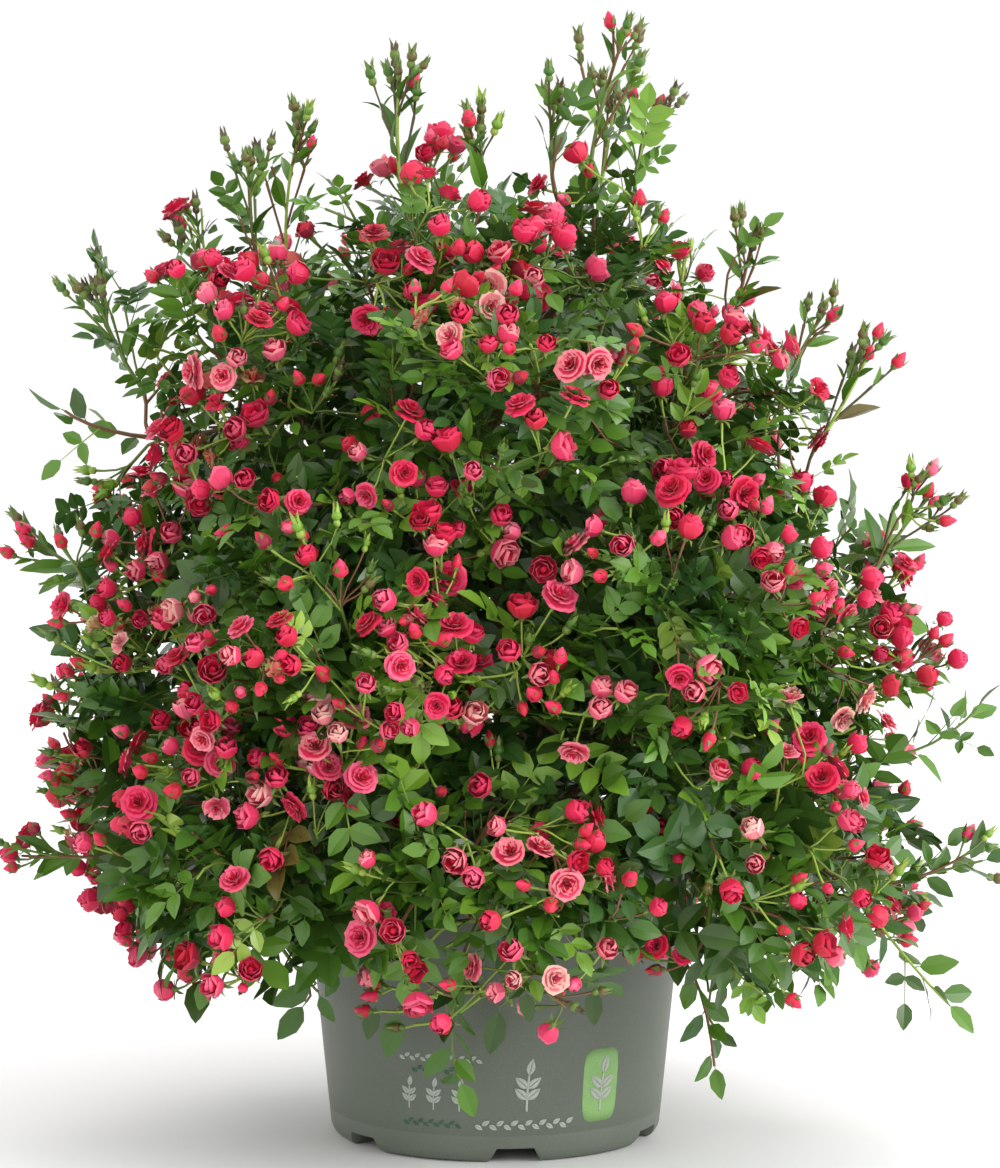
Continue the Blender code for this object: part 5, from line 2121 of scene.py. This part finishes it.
# %% [markdown]
# ## Flowering sprays
# The airy outline is made of sprays: long shoots that carry side branches turned on by the golden angle,
# shorter towards the tip, and each side branch ends in a group of buds. They stay near the width that
# their thin solid gives them.

# %% Dressing the sprays
SIDE_PITCH, SIDE_PITCH_SPREAD = 0.0132, (0.8, 1.25)
SIDE_GIRTH, SIDE_LEANS = 0.00092, (18, 32)
SPRAY_WOOD_SHARES = (0.25, 0.50, 0.25)
TIP_ROOM, FIRST_SIDE, LAST_SIDE = 0.018, 0.009, 0.96
SHORTEST_SIDE, SIDE_GAIN, SIDE_WIDTH = 0.012, 0.42, 1.05
BRACTS_TO, SPRAY_LEAF, SPRAY_LEAF_GAIN, SPRAY_LEAF_LEANS = 0.85, 0.015, 0.027, (30, 55)
TIP_BUDS, TIP_REACH = 3, 0.014
SIDE_BUDS, SIDE_REACH, LONGEST_SIDE = (1, 4), (0.010, 0.018), 0.046
SPRAY_LOOKS = ((1, 3, 4, 5, 7), (0.38, 0.38, 0.12, 0.08, 0.04))


def dress_spray(name, flowers, leaves):
    """Groups of buds on side branches up a spray; the branches are longer further down."""
    line, half = spray_axes[name]
    length, turn, back = line_length(line), rng.uniform(0, math.tau), TIP_ROOM + FIRST_SIDE
    tint = pick((RED, BROWN, LEAF_GREEN), SPRAY_WOOD_SHARES)
    mix = SPRAY_MIXES.get(name, BUD_MIX)
    place, heading = point_on(line, TIP_ROOM)
    add_bud_group(flowers, leaves, place, heading, TIP_BUDS, TIP_REACH, tint, mix)
    while back < length * LAST_SIDE:
        place, heading = point_on(line, back)
        lean = any_angle(*SIDE_LEANS)
        way = side_way(heading, turn, lean)
        reach = min(SHORTEST_SIDE + SIDE_GAIN * back, LONGEST_SIDE, SIDE_WIDTH * half / math.sin(lean))
        fork, rising = place + reach * unit(way + 0.25 * heading), unit(way + 0.5 * heading)
        flowers.add_stalk(place, unit(heading + 0.9 * way), fork, rising, tint, SIDE_GIRTH)
        add_bud_group(flowers, leaves, fork, rising, int(rng.integers(*SIDE_BUDS)),
                      rng.uniform(*SIDE_REACH), tint, mix)
        share = back / length
        blade = BRACT if share < BRACTS_TO else pick(BRACT, LEAF_FORM_SHARES)
        look = pick(*SPRAY_LOOKS)
        forward = side_way(heading, turn + 0.5, any_angle(*SPRAY_LEAF_LEANS))
        add_leaf(leaves, place, forward, SPRAY_LEAF + SPRAY_LEAF_GAIN * share, blade, look, facing(place),
                 MOST_SPRAY_OUTSIDE)
        turn += GOLDEN
        back += SIDE_PITCH * rng.uniform(*SIDE_PITCH_SPREAD)


print("a side branch is at most", LONGEST_SIDE / MM, "mm long")

# %% [markdown]
# ## Leafy pads and hanging shoots
# Leafy shoots at the skirt carry leaves to both sides, and one flowering pad is dressed like a spray.
# The blooms and the single leaves before the pot are placed first, then every spray and pad is dressed.

# %% Dressing pads and hanging shoots
MOST_PAD_OUTSIDE = 0.025
PAD_SHARES = (0.16, 0.34, 0.12, 0.26, 0.08, 0.02, 0.0, 0.02)
PAD_PITCH, PAD_PITCH_SPREAD, PAD_RISE = 0.0080, (0.7, 1.2), 0.15
PAD_LEANS, PAD_END, PAD_END_LEAN = (35, 62), 0.002, 0.1
PAD_SINGLES, SINGLE_SIZES, FEW_SIZE = 0.80, (0.021, 0.030), 0.048
LEAFY_SPRAYS, FLOWERING_PADS = ("spray_left_leaf",), ("pad_left_low",)
HANGING_REACH, MOST_HANGING_OUTSIDE, SHADED_HANGING_LOOKS = 0.008, 0.06, (0, 1)


def is_leafy(name):
    """Whether a thin solid holds a leafy shoot and not a flowering one."""
    return name in LEAFY_SPRAYS or name.startswith("pad_") and name not in FLOWERING_PADS


def dress_pad(name, leaves):
    """Leaves to both sides of a trailing shoot: single broad ones, and some of a few leaflets."""
    line, _ = spray_axes[name]
    length, turn, back = line_length(line), rng.uniform(0, math.tau), 0.001
    while back < length:
        place, heading = point_on(line, back)
        lean = any_angle(*PAD_LEANS) if back > PAD_END else PAD_END_LEAN
        is_single = rng.random() < PAD_SINGLES or name.startswith("pad_front")
        size = rng.uniform(*SINGLE_SIZES) if is_single else FEW_SIZE
        look = pick(len(LEAF_PALETTE), PAD_SHARES)
        add_leaf(leaves, place, side_way(heading, turn, lean), size, BROAD if is_single else FEW, look,
                 facing(place), MOST_PAD_OUTSIDE, PAD_RISE)
        turn += GOLDEN
        back += PAD_PITCH * rng.uniform(*PAD_PITCH_SPREAD)


def dress_hanging(flowers, leaves):
    """Blooms at the ends of the shoots before the pot, and the single leaves that hang there."""
    for shoot in hanging:
        place, heading = point_on(shoot["line"], 0.001)
        add_bud_group(flowers, leaves, place, unit(heading + 0.3 * outward(place)), shoot["blooms"],
                      HANGING_REACH, LIME, HANGING_MIX, MOST_HANGING_OUTSIDE, PALE_SHARES)
    for line, blade in leaf_stalks:
        # The hanging leaves take only the deep and dark greens, as painted shade.
        length, look = norm(blade), pick(SHADED_HANGING_LOOKS)
        place = wood.place[line[-1]]
        leaves.add(place, frame_of(blade / length, facing(place)), length * 1.05, BROAD, look)


dress_hanging(flowers, leaf_deals["spray"])
for name in thin_solids:
    if is_leafy(name):
        dress_pad(name, leaf_deals["spray"])
    else:
        dress_spray(name, flowers, leaf_deals["spray"])
print("blooms and buds in all:", flowers.count, "leaves on sprays:", len(leaf_deals["spray"].places))

# %% [markdown]
# ## Making the pieces
# The deals and lines are complete, and are turned into meshes: leaves by height, blooms by how open they
# are. Each piece stands for the solids whose room it fills.

# %% Leaves, blooms, buds and stalks as pieces
REPLACED = {"leaves_" + group: [name for name in masses if name.startswith(kinds)]
            for group, kinds in LEAF_GROUPS.items()}
REPLACED["leaves_spray"] = [name for name in thin_solids if is_leafy(name)]
REPLACED["buds"] = [name for name in thin_solids if name.startswith("spray_") and not is_leafy(name)]
REPLACED["blooms_open"] = list(FLOWERING_PADS)
FLOWER_PIECES = {"blooms_open": "open", "blooms_half": "half", "buds": "bud"}


def palette_of(looks):
    """A palette by code: the material of each part in each tint."""
    return {tint * PARTS + part: materials[name]
            for tint, look in enumerate(looks) for part, name in look.items()}


leaf_palette = palette_of({BLADE: blade, STALK: stalk} for blade, stalk in LEAF_PALETTE)
flower_looks = [{OUTER: outer, INNER: inner, RIM: rim, GREEN: FLOWER_GREENS[0], SHEATH: FLOWER_GREENS[1]}
                for outer, inner, rim in FLOWER_PALETTE]
flower_palette = palette_of(flower_looks + [{GREEN: hip, SHEATH: body} for hip, body in BUD_GREENS])
for group, deal in leaf_deals.items():
    name = "leaves_" + group
    finish_piece(deal_out(name, deal, leaf_collection, leaf_palette), REPLACED[name])
for name, group in FLOWER_PIECES.items():
    piece = deal_out(name, flowers.deals[group], bloom_collections[group], flower_palette)
    finish_piece(piece, REPLACED.get(name, ()))
finish_piece(draw_tubes("flower_stalks", flowers.stalks, 3, wood_palette))
